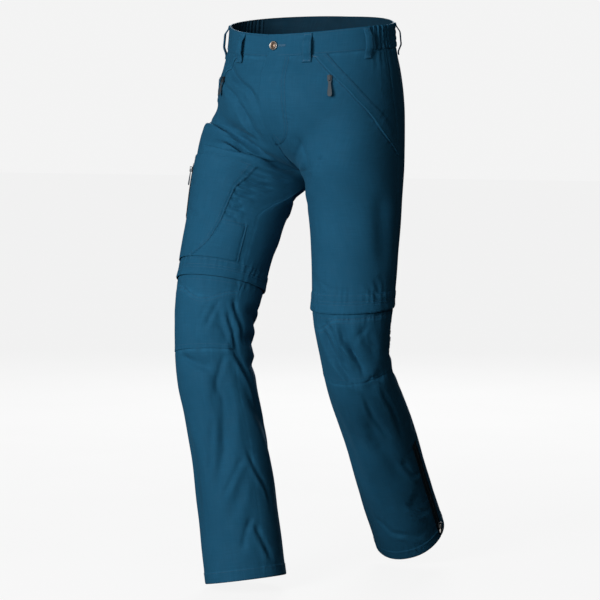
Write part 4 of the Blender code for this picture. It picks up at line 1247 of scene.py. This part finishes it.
def belt_loops():
    """Seven straps that stand off the band, with two stitched edges and a bar at each end."""
    t = shares(LOOP_BOTTOM - LOOP_TOP, 0.0018)
    q = LOOP_TOP + t * (LOOP_BOTTOM - LOOP_TOP)
    foot = BAND_PROUD + 2 * LIE
    stand = foot + (LOOP_STAND - foot) * smooth((t - 0.03) / 0.30) * smooth((0.95 - t) / 0.30)
    for name, place in zip(LOOP_NAMES, LOOP_PLACES):
        half = in_u(LOOP_WIDTH / 2, 0.02)
        s = np.array((-1.0, -0.93, -0.78, -0.55, -0.28, 0.0, 0.28, 0.55, 0.78, 0.93, 1.0))
        across = place + s * half
        across = wrap(across)
        crown = 0.0005 * (1 - s ** 2) - 0.0005 * np.abs(s) ** 12
        crown = crown - 0.0003 * hump(np.abs(s) - LOOP_STITCH, 0.1)
        lift = stand[:, None] + LOOP_CLOTH + crown
        sheet("belt_loop_" + name, "both", across, q[:, None], lift, LOOP_CLOTH)
        for way in (-LOOP_STITCH, LOOP_STITCH):
            u = np.full(q.shape, place + way * half)
            sew(THREADS["belt_loops"], "both", u, q, stand + LOOP_CLOTH + THREAD_OUT)
        for end in (LOOP_TOP + 0.003, LOOP_BOTTOM - 0.003):
            u = np.linspace(place - 0.8 * half, place + 0.8 * half, 9)
            height = np.interp(end, q, stand) + LOOP_CLOTH + 0.0003
            sew(THREADS["bartacks"], "both", u, np.full(9, end), height, BAR_PITCH, True)


THREADS = defaultdict(list)


def sew(threads, side, u, q, lift, pitch=STITCH_PITCH, across=False):
    """Add one line's stitches: small humped bars that dip into the cloth at both ends."""
    lift = np.broadcast_to(lift, u.shape)
    way = distances(fine(side, wrap(u), q, lift))
    count = int(way[-1] / pitch)
    if count < 1:
        return
    start = (np.arange(count) + 0.5) * way[-1] / count
    length = STITCH_LENGTH if not across else 0.0
    rings = start[:, None] + ALONG_STITCH * length
    ring_u, ring_q, ring_lift = (np.interp(rings, way, value) for value in (u, q, lift))
    points = fine(side, wrap(ring_u), ring_q, ring_lift)
    out = outward(side, wrap(ring_u), ring_q)
    ahead_u, ahead_q = (np.interp(rings + 0.0006, way, value) for value in (u, q))
    behind_u, behind_q = (np.interp(rings - 0.0006, way, value) for value in (u, q))
    along = fine(side, wrap(ahead_u), ahead_q) - fine(side, wrap(behind_u), behind_q)
    along /= np.maximum(np.linalg.norm(along, axis=-1, keepdims=True), 1e-9)
    beside = np.cross(out, along)
    if across:
        points = points + beside * (ALONG_STITCH * BAR_LENGTH)[None, :, None]
        beside = along
    height = np.array((-0.3, 1.0, 1.0, -0.3))[None, :, None] * STITCH_HEIGHT
    base = np.array((-0.5, 0.15, 0.15, -0.5))[None, :, None] * STITCH_HEIGHT
    half = STITCH_WIDTH / 2 * (1.5 if across else 1.0)
    left, right = (points + way * half * beside + out * base for way in (-1, 1))
    threads.append(np.stack([left, points + out * height, right], 2))


def wrap(u):
    """Carry u past the centre back over to the right half."""
    return np.where(u > 1.0, u - 2.0, u)


def distances(line):
    """How far along a line of points each point is."""
    return np.concatenate([[0.0], np.cumsum(np.linalg.norm(np.diff(line, axis=0), axis=1))])


def threads_made():
    """One mesh for each group of sewn lines."""
    for line in SEWN_LINES:
        level = "upper" if line.q.mean() < 0.45 else "lower"
        group = "waistband" if line.q.max() < WAISTBAND else level + "_" + line.side
        q = line.q
        u = np.linspace(line.u[0], line.u[-1], 400) if np.ptp(q) < 1e-6 else line.u
        q = np.full(400, q[0]) if np.ptp(q) < 1e-6 else q
        lift = line.lift
        end = ZIP_OFF[line.side]
        if q[0] == q[-1] and end - FLAP_HEIGHT < q[0] < end:
            lift = flap_lift(u, q, end) - 0.0005
        if group == "waistband" and abs(line.q[0] - ELASTIC_ROWS[1]) < 0.012:
            lift = BAND_PROUD
        sew(THREADS[group], line.side, u, q, lift + THREAD_OUT)
    for name, bars in THREADS.items():
        points = np.concatenate(bars).reshape(-1, 3)
        quads = squares(np.arange(len(points)).reshape(-1, 4, 3))
        build("stitches_" + name, points, quads, "thread", sharp=STITCH_SHARP)


def coil(side, u, q, lift, name):
    """Zip coil: small rounded bars across the zip, side by side along it."""
    u, q = spread(u, q)
    way = distances(fine(side, u, q, lift))
    count = int(way[-1] / TOOTH_PITCH)
    place = (np.arange(count) + 0.5) * way[-1] / count
    tu, tq = np.interp(place, way, u), np.interp(place, way, q)
    points, out = fine(side, tu, tq, lift), outward(side, tu, tq)
    along = np.gradient(points, axis=0)
    along /= np.linalg.norm(along, axis=-1, keepdims=True)
    beside = np.cross(out, along)
    rows = []
    for place, size in ((-1.0, 0.35), (-0.75, 1.0), (0.75, 1.0), (1.0, 0.35)):
        middle = points + beside * place * TOOTH_LENGTH / 2
        ring = []
        for turn in range(6):
            angle = 2 * pi * turn / 6
            wide = along * cos(angle) * TOOTH_WIDE * TOOTH_PITCH * size
            ring.append(middle + wide + out * sin(angle) * TOOTH_HIGH * size)
        rows.append(np.stack(ring, 1))
    bars = np.stack(rows, 1).reshape(-1, 3)
    quads = squares(closed(np.arange(len(bars)).reshape(count, 4, 6)))
    build(name, bars, quads, "teeth", sharp=STITCH_SHARP)


Seat = namedtuple("Seat", "point across down out")


def seat(side, u, q, out):
    """A frame on the cloth at a hard piece's place, with down as the way that it hangs."""
    point = cloth(side, np.array(u), np.array(q), out)
    normal = normals(side, np.array(u), np.array(q))
    down = np.array((0.0, 0.0, -1.0))
    down = down - normal * (down @ normal)
    down /= np.linalg.norm(down)
    return Seat(point, np.cross(down, normal), down, normal)


# The button's outline; look is 0 for its steel and 1 for its coppery dish
Turn = namedtuple("Turn", "radius height look")
BUTTON_STEPS = 64
BUTTON_OUTLINE = (
    Turn(0.0010, 0.0000, 0),
    Turn(BUTTON_RADIUS - 0.0008, 0.0000, 0),
    Turn(BUTTON_RADIUS - 0.0002, 0.0003, 0),
    Turn(BUTTON_RADIUS, 0.0009, 0),
    Turn(BUTTON_RADIUS, 0.0017, 0),
    Turn(BUTTON_RADIUS - 0.0003, 0.0023, 0),
    Turn(BUTTON_RADIUS - 0.0009, 0.0027, 0),
    Turn(BUTTON_RADIUS - 0.0017, 0.0027, 0),
    Turn(BUTTON_RADIUS - 0.0024, 0.0023, 0),
    Turn(BUTTON_RADIUS - 0.0030, 0.0019, 1),
    Turn(0.0042, 0.0019, 1),
    Turn(0.0032, 0.0023, 1),
    Turn(0.0018, 0.0027, 1),
    Turn(0.0004, 0.0028, 1),
)


def button():
    """The turned shank button, silvery at its rim and coppery in its dish."""
    at = seat("left", *BUTTON_AT, BAND_PROUD + LIE_ACROSS + 0.0007)
    angle = np.arange(BUTTON_STEPS) * 2 * pi / BUTTON_STEPS
    rings = []
    circle = np.outer(np.cos(angle), at.across) + np.outer(np.sin(angle), at.down)
    for row in BUTTON_OUTLINE:
        rings.append(at.point + circle * row.radius + at.out * row.height)
    index = closed(np.arange(len(rings) * BUTTON_STEPS).reshape(len(rings), -1))
    corners = index[:-1, :-1], index[:-1, 1:], index[1:, 1:], index[1:, :-1]
    quads = np.stack(corners, -1).reshape(-1, 4)
    thing = build("button_metal", np.concatenate(rings), quads, "steel", sharp=60)
    thing.data.materials.append(LOOKS["copper"])
    looks = np.repeat([row.look for row in BUTTON_OUTLINE[1:]], BUTTON_STEPS).astype(np.int32)
    thing.data.polygons.foreach_set("material_index", looks)
    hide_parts("button")
    for q in (BUTTON_AT[1] - 0.0011, BUTTON_AT[1] + 0.0011):
        u = np.linspace(BUTTON_AT[0] + 0.014, BUTTON_AT[0] + 0.046, 20)
        sew(THREADS["buttonhole"], "left", u, np.full(20, q), BAND_PROUD + 0.0007, 0.0007, True)


EDGE_ROUND = 0.0003
EDGE_ANGLE = 35


def hard_pieces():
    """Sliders and pulls keep their solids, with rounded edges and their own looks."""
    for name in ("pocket_left", "pocket_right", "thigh", "ankle_left", "ankle_right"):
        for part in ("slider", "pull"):
            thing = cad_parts[name + "_" + part]
            look = "dark_steel" if part == "slider" else "steel" if "ankle" in name else "pull"
            thing.data.materials.clear()
            thing.data.materials.append(LOOKS[look])
            bevel = thing.modifiers.new("round", "BEVEL")
            bevel.width = EDGE_ROUND
            bevel.segments = 3
            bevel.limit_method = "ANGLE"
            bevel.angle_limit = radians(EDGE_ANGLE)
    bars = THREADS["bartacks"]
    for side in ("left", "right"):
        q = np.linspace(-0.006, 0.006, 9)
        for place in (0.0475, 0.212):
            sew(bars, side, slant_u(place) + q / 0.5, place + q * 0.25, 0.0017, BAR_PITCH, True)
    for place in (0.193, 0.205):
        q = place + np.linspace(-0.005, 0.005, 9)
        sew(bars, "left", 0.016 + (q - 0.2) * 1.6, q, 0.0022, BAR_PITCH, True)


# Camera, light and floor
AZIMUTH = 36.0
ELEVATION = 4.0
DISTANCE = 4.5
TARGET = Vector((0.0, 0.0, -0.50))
FOCAL_PIXELS = 2430.0
PICTURE = 600.0
CENTRE_AT = (311.0, 298.0)
SENSOR = 36.0


def facing(name, data, azimuth, elevation, distance):
    """A camera or light that looks at the target, its place given as turn, rise and distance."""
    thing = bpy.data.objects.new(name, data)
    turn, rise = radians(azimuth), radians(elevation)
    back = Vector((sin(turn) * cos(rise), -cos(turn) * cos(rise), sin(rise)))
    thing.location = TARGET + back * distance
    thing.rotation_mode = "QUATERNION"
    thing.rotation_quaternion = (-back).to_track_quat("-Z", "Y")
    bpy.context.scene.collection.objects.link(thing)
    return thing


def camera():
    data = bpy.data.cameras.new("camera")
    data.sensor_width = SENSOR
    data.lens = FOCAL_PIXELS / PICTURE * SENSOR
    data.shift_x = -(CENTRE_AT[0] - PICTURE / 2) / PICTURE
    data.shift_y = (CENTRE_AT[1] - PICTURE / 2) / PICTURE
    bpy.context.scene.camera = facing("camera", data, AZIMUTH, ELEVATION, DISTANCE)


Light = namedtuple("Light", "name azimuth elevation distance size power")
LIGHTS = (
    Light("key", 0.0, 16.0, 2.8, 1.2, 73.0),
    Light("front_fill", 42.0, 30.0, 2.8, 1.2, 10.0),
    Light("back_fill", 212.0, 28.0, 3.8, 1.6, 125.0),
)
AMBIENT = 0.015
PALE = 0.90
FLOOR_GLOW = 0.88
FLOOR_HALF = 30.0
FLOOR_GAP = 0.004


def lights():
    """Round area lights, a weak even light from all sides and a pale backdrop."""
    for row in LIGHTS:
        data = bpy.data.lights.new(row.name, "AREA")
        data.shape = "DISK"
        data.size = row.size
        data.energy = row.power
        facing(row.name, data, row.azimuth, row.elevation, row.distance)
    world = bpy.data.worlds.new("studio")
    world.use_nodes = True
    tree = world.node_tree
    shader = tree.nodes["Background"]
    shader.inputs["Color"].default_value = (0.90, 0.95, 1.0, 1.0)
    shader.inputs["Strength"].default_value = AMBIENT
    backdrop = tree.nodes.new("ShaderNodeBackground")
    backdrop.inputs["Color"].default_value = (PALE, PALE, PALE, 1.0)
    path = tree.nodes.new("ShaderNodeLightPath")
    mix = tree.nodes.new("ShaderNodeMixShader")
    tree.links.new(path.outputs["Is Camera Ray"], mix.inputs[0])
    tree.links.new(shader.outputs[0], mix.inputs[1])
    tree.links.new(backdrop.outputs[0], mix.inputs[2])
    tree.links.new(mix.outputs[0], tree.nodes["World Output"].inputs["Surface"])
    bpy.context.scene.world = world
    bpy.context.scene.view_settings.view_transform = "Standard"


def floor():
    """A pale floor below the hems."""
    low = CAD_BOX[0].z - FLOOR_GAP
    size = FLOOR_HALF
    mesh = bpy.data.meshes.new("floor")
    corners = [(-size, -size, low), (size, -size, low), (size, size, low), (-size, size, low)]
    mesh.from_pydata(corners, [], [(0, 1, 2, 3)])
    thing = bpy.data.objects.new("floor", mesh)
    bpy.context.scene.collection.objects.link(thing)
    made = Nodes("pale_floor")
    place = made.tree.nodes.new("ShaderNodeTexCoord")
    grain = made.noise(place.outputs["Object"], 3.0, 2.0)
    made.set(
        Base_Color=made.between(grain, (0.050, 0.050, 0.050), (0.065, 0.065, 0.065)),
        Roughness=1.0,
        Specular_IOR_Level=0.0,
        Emission_Color=(1.0, 1.0, 1.0, 1.0),
        Emission_Strength=FLOOR_GLOW,
    )
    mesh.materials.append(made.material)
    thing.visible_diffuse = False
    thing.visible_glossy = False


camera()
lights()
floor()
for each_side in ("left", "right"):
    upper_pieces(each_side)
    zip_off_pieces(each_side)
    lower_pieces(each_side)
fly()
thigh_pocket()
waistband()
belt_loops()
button()
hard_pieces()
threads_made()
